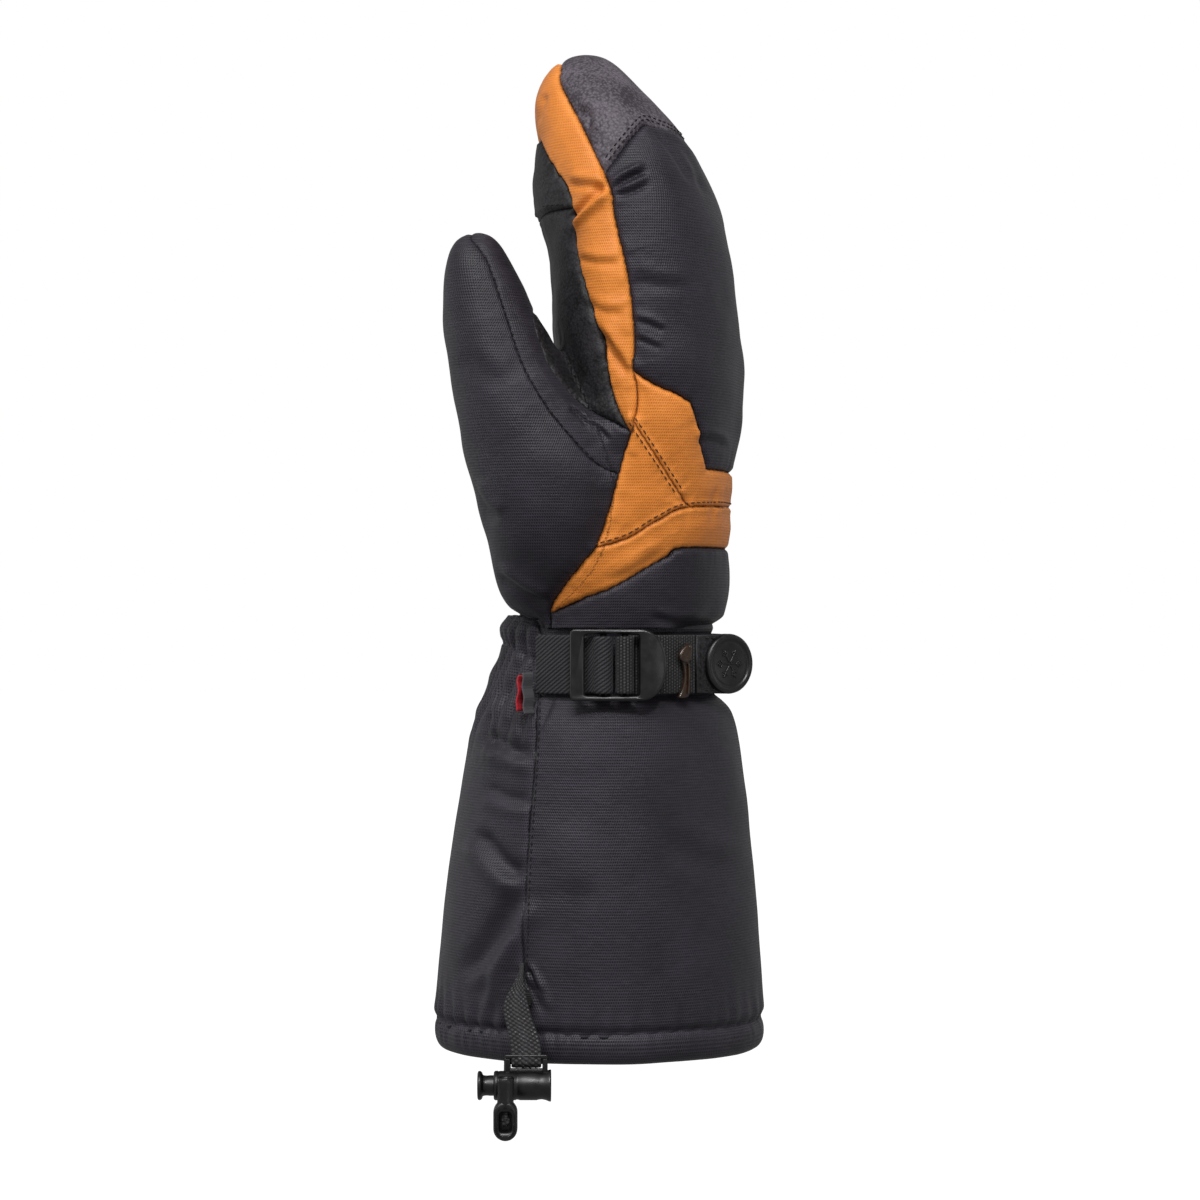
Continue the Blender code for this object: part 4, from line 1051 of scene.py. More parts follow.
def make_hem():
    """The rolled hem: a puffy tube, ruched where its seam is sewn to the cuff."""
    around, profile = 520, 44
    turns, parts = np.repeat(circle(around), profile), np.tile(circle(profile), around)
    length = turns * 56.5
    turns = turns + 2.0  # the row starts at the far side seam
    half_wide, half_high = 4.5, 5.9
    ring = 56 * np.column_stack([np.cos(turns), np.sin(turns), 0 * turns])
    pucker = np.sin(turns * 66 + 4.4 * lumps(ring, 9, 2)) * (0.75 + 0.6 * lumps(ring, 14, 6))
    pucker += 0.4 * lumps(ring, 2.6, 4)
    left = ramp(np.cos(turns), 0.2, -0.7)
    swell = 0.5 * lumps(ring, 13, 3) + (0.15 + 0.63 * left) * pucker * ramp(np.sin(parts), -0.7, 0.9)
    outward = -powered(np.cos(parts), 2 / 2.3) * (half_wide + swell) - half_wide
    upward = powered(np.sin(parts), 2 / 2.3) * (half_high + 0.15 * swell) + half_high
    x, y = HEM_X + (59.2 + outward) * np.cos(turns), (53.0 + outward) * np.sin(turns)
    points = np.column_stack([x, y, upward + 0.5 * lumps(ring, 20, 5)])
    faces = tube_grid(around + 1, profile)[:, [0, 3, 2, 1]] % (around * profile)
    obj = new_object("hem_band_skin", points, faces, np.column_stack([length, parts * 5.2, 0 * length]))
    # the distance to the hem's seam, from which the shell's material paints shade into the seam groove and a
    # highlight beside it
    give(obj.data, "seam", "FLOAT", np.abs(parts - 2.14) * 5.2 + 0.3)
    soft_piece(obj, BLACK, "shell", "hem_band", fill=0.6)


def rounded_copy(node, material, slot, fill):
    """A smooth, slightly uneven version of a soft CAD solid that its neighbours all but hide."""
    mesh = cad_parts[node].data.copy()
    with edited(mesh) as bm:
        bmesh.ops.remove_doubles(bm, verts=bm.verts, dist=0.02 * MM)
        bmesh.ops.join_triangles(bm, faces=bm.faces, angle_face_threshold=0.4, angle_shape_threshold=0.9)
    for attribute in [a.name for a in mesh.attributes if a.name.startswith("_")]:
        mesh.attributes.remove(mesh.attributes[attribute])
    obj = linked(node + "_soft", mesh)
    subdivide(obj)
    apply_modifiers(obj)
    points, normals = points_of(obj.data), normals_of(obj.data)
    points += normals * (0.18 * lumps(points, 7, 5))[:, None]
    if node == "insulation_hand":
        points[:, 2] = np.maximum(points[:, 2], 160 + 0.1 * (points[:, 2] - 160))
    move_points(obj.data, points)
    give(obj.data, "cloth", "FLOAT_VECTOR", cloth_places(CUFF_ROWS, CUFF_POWER, points)[0])
    obj.data.shade_smooth()
    soft_piece(obj, material, slot, node, fill=fill)


def make_linings():
    for node, material, slot, fill in (
        ("fleece_lining", FLEECE, "lining", None), ("cuff_lining", LINING, "lining", None),
        ("membrane_insert", LINING, "membrane", None), ("insulation_hand", WADDING, "insulation", 0.7),
        ("cuff_insulation", WADDING, "insulation", 0.6), ("wrist_elastic", TWILL, "webbing", None),
    ):
        rounded_copy(node, material, slot, fill)


# ---------------------------------------------------------------- straps
STRAP_LOW, STRAP_HIGH, STRAP_RADIUS, WEBBING, CLEARANCE = 127.4, 148.0, 41.7, 1.0, 0.4
STRAP_CENTRE, STRAP_STEP = (1.8, 0.0), 0.26
BUCKLE = Vector((6.8, -45.4, 137.7))


def ribs(u, v):
    """Webbing: raised warp columns, each with its own chain of small knots."""
    column = np.floor(u / 1.05)
    knots = 0.65 + 0.35 * np.sin(2 * np.pi * v / 1.1 + np.pi * (column % 2))
    return 0.22 * np.abs(np.sin(np.pi * u / 1.05)) ** 1.2 * knots


def twill(u, v):
    """Elastic: diagonal ribs that rise to the right."""
    slant = math.radians(38)
    across = v * math.cos(slant) - u * math.sin(slant)
    return 0.19 * np.abs(np.sin(np.pi * across / 1.15)) ** 1.4 + 0.03 * np.sin(2 * np.pi * u / 0.7)


def fine_lines(_, v):
    """Ribbon: fine lines along it."""
    return 0.03 * np.sin(2 * np.pi * v / 0.5)


def band(name, path, low, high, relief, thickness=WEBBING):
    """A flat strap along a path seen from above, from low to high, with relief on both faces."""
    line = rounded(path, STRAP_STEP, corner=100)
    outward, length = -to_left(directions(line)), distance_along(line)
    width = np.linspace(low, high, max(8, int((high - low) / 0.34)))
    from_edge = np.minimum(width - low, high - width)
    shape = np.sqrt(1 - (1 - np.clip(from_edge / 0.7, 0, 1)) ** 2)
    u, v = np.repeat(length, len(width)), np.tile(width, len(length))
    height = relief(u, v)
    half = np.tile(shape, len(length)) * (thickness / 2 - 0.1 + height)
    shift = np.repeat(outward, len(width), axis=0) * half[:, None]
    spots = np.repeat(line, len(width), axis=0)
    points = [np.column_stack([face, v]) for face in (spots + shift, spots - shift)]
    n, m = len(length), len(width)
    i, j = (g.ravel() for g in np.meshgrid(np.arange(n - 1), np.arange(m - 1), indexing="ij"))
    grid = np.column_stack([i * m + j, (i + 1) * m + j, (i + 1) * m + j + 1, i * m + j + 1])
    faces = [grid, grid[:, ::-1] + n * m]
    for first, step in ((np.arange(m - 1), 1), (np.arange(n - 1) * m, m)):
        near_edge = np.column_stack([first, first + step, first + step + n * m, first + n * m])
        across_to = (n - 1) * m if step == 1 else m - 1
        faces += [near_edge, near_edge[:, ::-1] + across_to]
    # the third value is the relief, from which the webbing material paints shade into the grooves and light
    # onto the ribs
    cloth = np.column_stack([u, v, height / 0.2])
    obj = new_object(name, np.vstack(points), np.concatenate(faces), np.tile(cloth, (2, 1)))
    weld(obj)
    return obj


def weld(obj, distance=0.02):
    with edited(obj.data) as bm:
        bmesh.ops.remove_doubles(bm, verts=bm.verts, dist=distance * MM)
        bmesh.ops.recalc_face_normals(bm, faces=bm.faces)
    obj.data.shade_smooth()


def arc(centre, radius, start, end, count):
    """Points on a circle at even steps. Angles are in degrees from straight down, by way of the right."""
    angles = np.radians(np.linspace(start, end, count + 1))
    return [(centre[0] + radius * math.sin(t), centre[1] - radius * math.cos(t)) for t in angles]


def strap_arc(layer, start, end, count):
    return arc(STRAP_CENTRE, STRAP_RADIUS + WEBBING / 2 + layer * (WEBBING + CLEARANCE), start, end, count)


def make_strap():
    """The strap's five pieces. It returns the tail's end and direction, where the badge begins."""
    front = BUCKLE.y
    loop = [(-7.2, front + 4.1), (-4.4, front + 3.6), (-2.6, front + 1.9)]
    loop += [*arc((1.4, front), 2.8, -90, 90, 6), (4.1, front + 1.8), (1.4, front + 2.5)]
    bight = [(6.3, front + 1.7), *arc((8.9, front - 0.1), 2.6, -90, 90, 8), (11.5, front + 1.7)]
    tail = strap_arc(1, 14, 38, 8)
    along = Vector((math.cos(math.radians(38)), math.sin(math.radians(38))))
    tail.append(tuple(Vector(tail[-1]) + along * 6.0))
    for node, path, trim, relief, material, body in (
        ("elastic_band", strap_arc(0, -34, -13, 6), 0.0, twill, TWILL, "mitten"),
        ("elastic_loop", loop, 0.4, twill, TWILL, "mitten"),
        ("webbing_strap", strap_arc(0, 7.5, 148, 40), 0.0, ribs, WEB, "mitten"),
        ("webbing_bight", bight, 0.4, ribs, WEB, "buckle"),
        ("strap_tail", tail, 0.0, ribs, WEB, "pull_tail"),
    ):
        name = node + ("_twill" if relief is twill else "_ribbed")
        piece = band(name, path, STRAP_LOW + trim, STRAP_HIGH - trim, relief)
        soft_piece(piece, material, "webbing", node, body)
    return Vector(tail[-1]), along


# ---------------------------------------------------------------- moulded pieces
def plate(name, outlines, thickness, edge, place=Matrix(), segments=3):
    """A flat piece with rounded edges from an outline and its holes, which lie in x and z."""
    curve = bpy.data.curves.new(name, "CURVE")
    curve.dimensions = "2D"
    curve.fill_mode = "BOTH"
    curve.bevel_depth = edge * MM
    curve.bevel_resolution = segments
    curve.extrude = (thickness / 2 - edge) * MM
    curve.offset = -edge * MM
    for outline in outlines:
        spline = curve.splines.new("POLY")
        spline.points.add(len(outline) - 1)
        for point, (x, z) in zip(spline.points, outline):
            point.co = (x * MM, z * MM, 0, 1)
        spline.use_cyclic_u = True
    source = linked(name, curve)
    graph = bpy.context.evaluated_depsgraph_get()
    mesh = bpy.data.meshes.new_from_object(source.evaluated_get(graph))
    bpy.data.objects.remove(source)
    mesh.transform(place @ Matrix.Rotation(math.pi / 2, 4, "X"))
    obj = linked(name, mesh)
    weld(obj, 0.004)
    return obj


def soft_corners(points, radius, count=5):
    """A closed outline whose corners are rounded."""
    made = []
    points = [np.array(p, float) for p in points]
    for before, here, after in zip([points[-1], *points], points, [*points[1:], points[0]]):
        reach = min(radius, 0.49 * np.linalg.norm(before - here), 0.49 * np.linalg.norm(after - here))
        one = here + (before - here) / np.linalg.norm(before - here) * reach
        two = here + (after - here) / np.linalg.norm(after - here) * reach
        for t in np.linspace(0, 1, count + 1):
            made.append(tuple(one * (1 - t) ** 2 + 2 * here * t * (1 - t) + two * t * t))
    return made


def rectangle(left, right, low, high, radius):
    return soft_corners([(left, low), (right, low), (right, high), (left, high)], radius)


def slab(left, right, low, high, radius, thickness, edge, place=Matrix()):
    return plate("slab", [rectangle(left, right, low, high, radius)], thickness, edge, place)


def lathe(name, profile, place, sides):
    """A turned piece. The profile's rows are the place along the axis and the radius; the axis is x."""
    c, s, flat = np.cos(circle(sides)), np.sin(circle(sides)), np.ones(sides)
    points = np.concatenate([np.column_stack([along * flat, r * c, r * s]) for along, r in profile])
    obj = new_object(name, points, tube_grid(len(profile), sides))
    weld(obj, 0.003)
    obj.data.transform(place)
    return obj


def join(target, *others):
    """Makes the first object out of all of them."""
    with edited(target.data) as bm:
        for obj in others:
            bm.from_mesh(obj.data)
    target.data.shade_smooth()
    for obj in others:
        bpy.data.objects.remove(obj)


def at(x, y, z):
    return Matrix.Translation(Vector((x, y, z)) * MM)


def wire(name, points, radius, step=0.4, sides=10):
    """A round cord through the points. Thick cords are braided."""
    line = rounded(points, step, corner=170)
    count, along, length, turn = len(line), directions(line), distance_along(line), circle(sides)
    side = np.cross(along, [0.31, 0.22, 0.92])
    if np.linalg.norm(side[0]) < 0.2:
        side[0] = np.cross(along[0], [1.0, 0, 0])
    for i in range(count):
        before = side[max(i - 1, 0)]
        side[i] = before - along[i] * (before @ along[i])
        side[i] /= np.linalg.norm(side[i])
    other = np.cross(along, side)
    rings, places = [], []
    for i in range(count):
        rise = 0.5 + 0.5 * np.sin(turn * 4 + length[i] * 3.4) * np.sin(turn * 4 - length[i] * 3.4)
        plait = radius * (0.95 + 0.1 * rise * (radius > 0.5))
        ring = np.outer(plait * np.cos(turn), side[i]) + np.outer(plait * np.sin(turn), other[i])
        rings.append(line[i] + ring)
        # the third value is the plait's relief, from which the webbing material paints shade into its grooves
        # and light onto its strands
        places.append(np.column_stack([np.full(sides, length[i]), turn * radius, rise]))
    points = np.concatenate([*rings, line[:1], line[-1:]])
    places = np.concatenate([*places, [[0, 0, 0], [length[-1], 0, 0]]])
    obj = new_object(name, points, [*tube_grid(count, sides), *end_fans(count, sides)], places)
    weld(obj, 0.001)
    return obj


def make_buckle():
    """A ladder-lock frame whose lifting tab is a domed half round."""
    x, y, z = BUCKLE
    half, left, tab = 12.5, x - 16.8, x + 7.2
    outline = soft_corners([(tab, z - half), (left, z - half), (left, z + half), (tab, z + half)], 1.8)[6:-6]
    outline = outline[::-1] if outline[0][1] > z else outline
    angles = np.radians(np.linspace(84, -84, 41))
    dome = [(tab + 9.4 * math.cos(t) ** 0.9, z + half * math.sin(t)) for t in angles]
    body = [(tab, z - half), *outline, (tab, z + half), *dome]
    window = rectangle(-5.0, 13.9, z - half + 1.9, z + half - 1.9, 1.2)
    frame_plate = plate("buckle_frame_moulded", [body, window], 3.0, 0.85, at(0, y - 0.2, 0), 4)
    points = points_of(frame_plate.data)
    past = np.clip((points[:, 0] - 13.4) / 10.2, 0, 1)
    across = 1 - ((points[:, 2] - z) / half) ** 2
    front = points[:, 1] < y - 0.4
    points[:, 1] -= np.where(front, 1.5, 0.2) * np.sin(np.pi * past) ** 0.8 * np.clip(across, 0, 1) ** 0.5
    points[:, 1] += 1.4 * past**2
    ends = ramp(np.abs(points[:, 2] - z), half - 3, half)
    points[:, 1] -= np.where(front, 0.35, 0.0) * ends * (1 - past)
    move_points(frame_plate.data, points)
    for left, right in ((0.1, 2.7), (7.6, 10.2)):  # the bars that the elastic and the webbing pass round
        bar = slab(left, right, z - half + 1.2, z + half - 1.2, 0.3, 2.1, 0.7, at(0, y - 0.1, 0))
        join(frame_plate, bar)
    soft_piece(frame_plate, PLASTIC, "plastic", "buckle_frame", "buckle")


# the bars of one arm of the badge's crystal: from, to, lean
CRYSTAL = [(0.6, 5.6, 0.0), (2.9, 4.6, 0.7), (2.9, 4.6, -0.7), (4.2, 5.2, 0.7), (4.2, 5.2, -0.7)]


def make_badge(start, along):
    """The stitched leather pull tab and its disc, which bears a plain snow crystal."""
    outward = Vector((along.y, -along.x))
    turn = Matrix((
        (along.x, -outward.x, 0, start.x * MM), (along.y, -outward.y, 0, start.y * MM),
        (0, 0, 1, (STRAP_LOW + STRAP_HIGH) / 2 * MM), (0, 0, 0, 1),
    ))
    length, half = 25.0, 10.6
    outline = arc((length - half, 0), half, 180, 0, 40)
    outline += soft_corners([(0.6, -half + 0.4), (0.6, half - 0.4)], 0.01, 1)[::2]
    tab = plate("badge_tab_leather", [outline], 1.6, 0.5, turn)
    soft_piece(tab, LEATHER, "leather", "badge_tab", "pull_tail")
    seam = [(2.2, z) for z in np.linspace(-half + 1.6, half - 1.6, 9)]
    edge = [(x, half - 1.5) for x in np.linspace(3.4, length - half - 1, 6)]
    low = [(x, -z) for x, z in edge]
    for name, line in (("end", seam), ("top", edge), ("low", low)):
        spots = np.array([(x, -0.8, z) for x, z in rounded(line, 0.2)])
        outwards = np.tile([0.0, -1.0, 0.0], (len(spots), 1))
        obj = thread_row(f"badge_{name}_stitches", spots, outwards, 2.0, 2.7, 0.3)
        obj.data.transform(turn)
        wear(obj, THREAD)
        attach(obj, "pull_tail")
    axis = turn @ at(length - half, 0, 0) @ Matrix.Rotation(-math.pi / 2, 4, "Z")
    rim_rows = [
        (1.2, 0.5), (1.35, 0.1), (1.7, 0), (2.4, 0.15), (2.85, 0.5), (3.0, 1.0), (2.95, 1.7), (2.7, 2.1),
        (2.35, 2.3), (2.3, 2.8), (2.42, 3.1), (2.42, 3.5), (2.3, 3.8),
    ]
    profile = [(1.2, 0), *((high, half - inset) for high, inset in rim_rows), (2.3, 0)]
    disc = lathe("badge_disc_moulded", profile, axis, 96)
    for k in range(6):
        ray = cmath.rect(1, math.pi / 3 * k)
        for start_r, end_r, lean in CRYSTAL:
            bar = cmath.rect(end_r - start_r, lean)
            ends = [(start_r + share * bar) * ray for share in (0, 0.5, 1)]
            arm = wire("arm", [(2.32, end.real, end.imag) for end in ends], 0.3, 0.5, sides=8)
            arm.data.transform(axis)
            join(disc, arm)
    soft_piece(disc, PLASTIC, "plastic", "badge_disc", "pull_tail")


def make_pair_hook():
    """The hook on the tail that pairs two mittens: a bent plate with a flat nose and a rib."""
    middle = math.radians(37.0)
    radius = STRAP_RADIUS + 2 * WEBBING + 2 * CLEARANCE
    spot = (STRAP_CENTRE[0] + radius * math.sin(middle), -radius * math.cos(middle), 0.0)
    place = at(*spot) @ Matrix.Rotation(middle, 4, "Z")
    foot = STRAP_LOW - 1.4
    stem = [(2.9, foot), (2.9, foot + 19.0), (1.6, foot + 18.7), (-0.6, foot + 16.4), (-1.6, foot + 14.0)]
    stem += [(-0.2, foot + 12.4), (0.7, foot + 9.0), (0.5, foot + 5.6), (-0.7, foot + 2.0), (-2.4, foot)]
    nose = [(2.9, foot + 13.2), (2.9, foot + 19.0), (0.6, foot + 18.6), (-1.8, foot + 16.6)]
    nose += [(-3.0, foot + 14.4), (-1.2, foot + 12.6), (1.2, foot + 12.2)]
    hook = plate("pair_hook_moulded", [soft_corners(stem, 2.2, 4)], 1.5, 0.5, place @ at(0, -0.75, 0))
    leaf = plate("nose", [soft_corners(nose, 1.6, 4)], 2.0, 0.8, place @ at(0, -1.9, 0), 4)
    rib = wire("rib", [(1.9, -1.75, foot + 1.5), (2.1, -2.0, foot + 7), (2.0, -1.9, foot + 12)], 0.45, 0.5)
    rib.data.transform(place)
    join(hook, leaf, rib)
    soft_piece(hook, SMOKE, "smoke", "pair_hook", "pull_tail")


def make_labels():
    """Two small folded ribbons in the side seam, which splay out downwards."""
    outward, across = np.array([-0.55, -0.84]), np.array([0.84, -0.55])
    root = np.array([-23.6, -34.8]) + outward * 0.8
    for name, shift, material, slot, low, high in (
        ("size_label", -0.9, RED, "red", 121.5, 134.0), ("side_label", 0.9, GREY, "webbing", 120.5, 135.0),
    ):
        path = [root + across * shift + outward * t for t in (0.0, 2.0, 4.2, 6.0)]
        ribbon = band(name + "_ribbon", path, low, high, fine_lines, thickness=0.7)
        points = points_of(ribbon.data)
        drop = np.clip((high - points[:, 2]) / (high - low), 0, 1)
        sway = shift * 1.1 * drop**1.5 + 0.35 * np.sin(points[:, 2] * 0.9 + shift)
        points[:, :2] += across * (sway * 0.8)[:, None]
        move_points(ribbon.data, points)
        soft_piece(ribbon, material, slot, name)


# ---------------------------------------------------------------- cord lock
LOCK = Vector((-26.5, -55.2, -6.2))
CORD_X, CORD_Y, CORD_Z, CORD_RADIUS, PULL_Y = -31.8, -40.4, LOCK.z + 1.2, 1.3, -63.8
BAR_Y, BAR_Z = LOCK.y + 1.4, LOCK.z + 8.2  # the bar that the tether passes round


def make_tether():
    """The webbing that holds the lock: out of the cuff, round the lock's bar, and back in."""
    path = [(-42.4, 34.2), (-46.4, 34.0), (-49.0, 30.6), (-52.4, 17.0), (-54.8, 7.0)]
    path += arc((BAR_Y, BAR_Z), 1.9, 270, 450, 6)
    path += [(-50.9, 7.0), (-50.5, 14.0), (-48.7, 25.0), (-46.9, 30.6), (-45.4, 31.9), (-42.4, 31.9)]

    def place(spots, width):
        share, low = ramp(spots[:, 1], 33, 19), ramp(spots[:, 1], 24, 6)
        bow = -2.0 * np.sin(np.pi * ramp(spots[:, 1], 36, 4)) * (spots[:, 0] < -49)
        return np.column_stack([-26.7 + bow + 1.8 * low + width * (0.8 + 3.6 * share + 0.7 * low), spots])

    def braid(u, v):
        strands = [np.sin(np.pi * (u + slant * v) / 1.5) for slant in (3.4, -3.4)]
        return 0.16 * np.abs(strands[0] * strands[1]) ** 0.9

    obj = braided_band("lock_tether_braid", path, braid, place, 60, 0.9)
    soft_piece(obj, TETHER, "webbing", "lock_tether")


def braided_band(name, path, relief, place, sides, thickness):
    """A flat band whose width runs from -1 to 1 before place() spreads it."""
    line = rounded(path, STRAP_STEP, corner=100)
    length, levels = distance_along(line), len(line)
    u, t = np.repeat(length, sides), np.tile(circle(sides), levels)
    width = powered(np.cos(t), 0.6)
    height = relief(u, width)
    half = powered(np.sin(t), 0.5) * (thickness / 2 - 0.05 + height)
    outward = np.repeat(to_left(directions(line)), sides, axis=0)
    spots = np.repeat(line, sides, axis=0) + outward * half[:, None]
    ring = np.arange(sides)
    faces = [*tube_grid(levels, sides), ring, (levels * sides - 1 - ring)]
    # the third cloth value is the braid's relief, from which the webbing material paints shade into its gaps
    # and light onto its ridges
    obj = new_object(name, place(spots, width), faces, np.column_stack([u, width * 4, height / 0.15]))
    weld(obj, 0.001)
    return obj


def make_lock():
    """The barrel with its ears, bar and cord holes, the plunger, and the spring between them."""
    _, y, z = LOCK
    along_x = at(0, y, z)
    barrel = [
        (-35.4, 3.8), (-36.0, 4.1), (-36.0, 4.6), (-35.6, 5.0), (-34.8, 5.05), (-34.4, 4.85), (-33.9, 5.0),
        (-28.6, 5.0), (-28.2, 4.8), (-27.6, 4.8), (-27.2, 5.0), (-21.4, 5.0), (-20.4, 4.75), (-19.4, 4.7),
        (-18.2, 4.95), (-17.2, 5.35), (-16.6, 5.5), (-16.4, 5.3), (-16.5, 4.6), (-17.4, 4.0), (-18.2, 3.8),
        (-18.2, 0.0),
    ]
    body = lathe("lock_body_moulded", barrel, along_x, 64)
    parts = [lathe("inner", [(-18.2, 3.8), (-35.4, 3.8)], along_x, 64)]
    for low, high in ((-32.2, -30.4), (-19.4, -17.6)):
        ear = slab(y - 0.6, y + 3.4, z + 2.6, z + 9.9, 1.4, high - low, 0.4)
        ear.data.transform(Matrix.Rotation(math.pi / 2, 4, "Z"))
        ear.data.transform(at((low + high) / 2, 0, 0))
        parts.append(ear)
    saddle = slab(-31.8, -18.2, z + 3.4, z + 5.6, 0.5, 3.0, 0.4, at(0, y + 1.4, 0))
    crown = slab(-32.2, -17.6, z + 9.2, z + 10.6, 0.6, 1.3, 0.4, at(0, y - 0.1, 0))
    bar = [(along, BAR_Y, BAR_Z) for along in (-31.4, -25, -18.4)]
    parts += [saddle, crown, wire("bar", bar, 1.1, 1.0, sides=16)]
    for side in (-1, 1):
        ring = [(a, y + side * 4.85, b) for a, b in arc((CORD_X, CORD_Z), 2.2, 90, 450, 16)]
        parts.append(wire("lip", ring, 0.45, 0.5, sides=8))
    join(body, *parts)
    soft_piece(body, PLASTIC, "plastic", "lock_body", "cord_lock")
    rod = [
        (-41.6, 0.0), (-41.6, 4.3), (-41.4, 4.8), (-41.0, 5.0), (-40.5, 4.9), (-40.0, 4.4), (-39.8, 3.7),
        (-39.4, 3.5), (-38.4, 3.4), (-37.4, 3.5), (-25.6, 3.5), (-25.4, 3.3), (-25.4, 0.0),
    ]
    plunger = lathe("lock_plunger_moulded", rod, along_x, 56)
    soft_piece(plunger, PLASTIC, "plastic", "lock_plunger", "plunger")
    turns = arc((y, z), 1.9, 90, 90 + 360 * 5.5, 99)
    coil = [(8.0 * i / 99 - 26.9, *spot) for i, spot in enumerate(turns)]
    spring = wire("lock_spring_wire", coil, 0.26, 0.6, sides=8)
    soft_piece(spring, STEEL, "steel", "lock_spring", "cord_lock")
    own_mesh(spring)


def make_pull():
    """The moulded pull, the knot in its window, and the cord from the hem through the lock to it."""
    body_top, foot = -10.0, -23.6
    neck = [
        (-2.2, 1.7), (-2.0, 2.6), (-2.4, 3.0), (-4.0, 3.0), (-7.5, 2.7), (-10.2, 2.8), (-12.5, 3.0),
        (-12.5, 1.7), (-2.2, 1.7),
    ]
    upright = at(CORD_X, PULL_Y, 0) @ Matrix.Rotation(-math.pi / 2, 4, "Y")
    pull = lathe("cord_end_moulded", neck, upright, 48)
    outline = arc((CORD_X, body_top - 3.9), 4.1, 90, 270, 16) + arc((CORD_X, foot + 4.1), 4.1, 270, 450, 16)
    window = rectangle(CORD_X - 1.9, CORD_X + 1.9, foot + 3.2, foot + 9.8, 1.2)
    rim_plate = plate("rim", [outline, window], 5.8, 1.5, at(0, PULL_Y, 0), 4)
    place = at(0, PULL_Y + 1.9, 0)
    back = slab(CORD_X - 2.6, CORD_X + 2.6, foot + 2.6, foot + 10.4, 1.2, 1.2, 0.3, place)
    join(pull, rim_plate, back)
    soft_piece(pull, PLASTIC, "plastic", "cord_end", "cord_pull")
    t = np.linspace(0, 2 * np.pi, 61)
    knot = np.column_stack([
        CORD_X + 0.32 * (np.sin(t) + 2 * np.sin(2 * t)), PULL_Y - 0.4 - 0.45 * np.sin(3 * t),
        foot + 6.4 + 0.44 * (np.cos(t) - 2 * np.cos(2 * t)),
    ])
    tied = wire("cord_knot_tied", knot, 0.62, 0.3)
    soft_piece(tied, WEB, "webbing", "cord_knot", "cord_pull")
    path = [(CORD_Y, 5.0), (CORD_Y, 0.6), (CORD_Y - 0.6, -1.8), (CORD_Y - 2.4, -3.8)]
    path += [(CORD_Y - 5.0, CORD_Z), (CORD_Y - 7.0, CORD_Z)]
    root = wire("drawcord_root", [(CORD_X, *spot) for spot in path], CORD_RADIUS - 0.05, sides=14)
    wear(root, WEB)
    start, end = (CORD_X * MM, CORD_Y * MM, -0.0005), (CORD_X * MM, -0.0460, CORD_Z * MM)
    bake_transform(root, "mitten", "cord_lock", start=start, end=end)
    path = [(CORD_Y - 3.6, CORD_Z + 0.5)]
    path += [(y, CORD_Z) for y in (CORD_Y - 6.0, LOCK.y + 5.2, LOCK.y, PULL_Y + 1.2)]
    path += [(PULL_Y + 0.3, CORD_Z - 0.35), (PULL_Y, CORD_Z - 1.3), (PULL_Y, -11.0), (PULL_Y, -16.4)]
    route = [(CORD_X, *spot) for spot in path]
    tail = wire("drawcord_tail_braid", route, CORD_RADIUS, sides=14)
    line = rounded(route, 0.4, corner=170)
    wear(tail, WEB)
    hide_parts("drawcord_tail")
    start, end = (CORD_X * MM, PULL_Y * MM, -0.0075), (CORD_X * MM, PULL_Y * MM, -0.0115)
    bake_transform(tail, "cord_lock", "cord_pull", start=start, end=end)


def make_hem_drawcord():
    """The cord inside the hem, open where its ends leave through the eyelet."""
    half_x, half_y = 55.4, 49.4
    start, gap = math.asin((CORD_X - HEM_X) / half_x), math.radians(4.0)
    angles = np.linspace(start + gap, start + 2 * math.pi - gap, 60)
    points = [(HEM_X + half_x * math.sin(t), -half_y * math.cos(t), 6.6) for t in angles]
    cord = wire("hem_drawcord_braid", points, CORD_RADIUS - 0.1, 1.2)
    soft_piece(cord, WEB, "webbing", "hem_drawcord")


# ---------------------------------------------------------------- stitches
def thread_row(name, spots, normals, length, pitch, radius):
    """Stitches along a row of places: each is a short thread that dips into the cloth at both ends."""
    walked = distance_along(spots)
    points, faces, places = [], [], []
    sides, steps = 7, 7
    turn = circle(sides)
    c, s = np.cos(turn)[:, None], np.sin(turn)[:, None]
    for start in np.arange(pitch * 0.3, walked[-1] - length, pitch):
        at_length = np.linspace(start, start + length, steps)
        middle = np.column_stack([np.interp(at_length, walked, spots[:, k]) for k in range(3)])
        up = np.column_stack([np.interp(at_length, walked, normals[:, k]) for k in range(3)])
        up /= np.maximum(np.linalg.norm(up, axis=1), 1e-6)[:, None]
        if np.linalg.norm(middle[-1] - middle[0]) < 0.5 * length:
            continue
        arch = np.sin(np.linspace(0, np.pi, steps))
        middle = middle + up * (radius * (1.5 * arch - 0.9) + 0.08)[:, None]
        along = directions(middle)
        side = np.cross(along, up)
        top = np.cross(side, along)
        first, last = len(points), len(points) + (steps - 1) * sides
        size = radius * (0.35 + 0.65 * arch**0.4)
        for i in range(steps):
            points += list(middle[i] + size[i] * (c * side[i] + s * top[i]))
            places += [(at_length[i] * 3.0, t * radius * 2, 0.5) for t in turn]
        faces += list(tube_grid(steps, sides)[:, [0, 3, 2, 1]] + first)
        faces += [range(first, first + sides)[::-1], range(last, last + sides)]
    obj = new_object(name, points, faces, places)
    with edited(obj.data) as bm:
        bmesh.ops.recalc_face_normals(bm, faces=bm.faces)
    return obj


def skin_tree(pieces):
    """One tree of the pieces' outer faces, in millimetres, for laying stitches on them."""
    points, faces = [], []
    for mesh in (piece.data for piece in pieces):
        faces += [[len(points) + v for v in polygon.vertices] for polygon in mesh.polygons]
        points += points_of(mesh).tolist()
    return BVHTree.FromPolygons(points, faces)


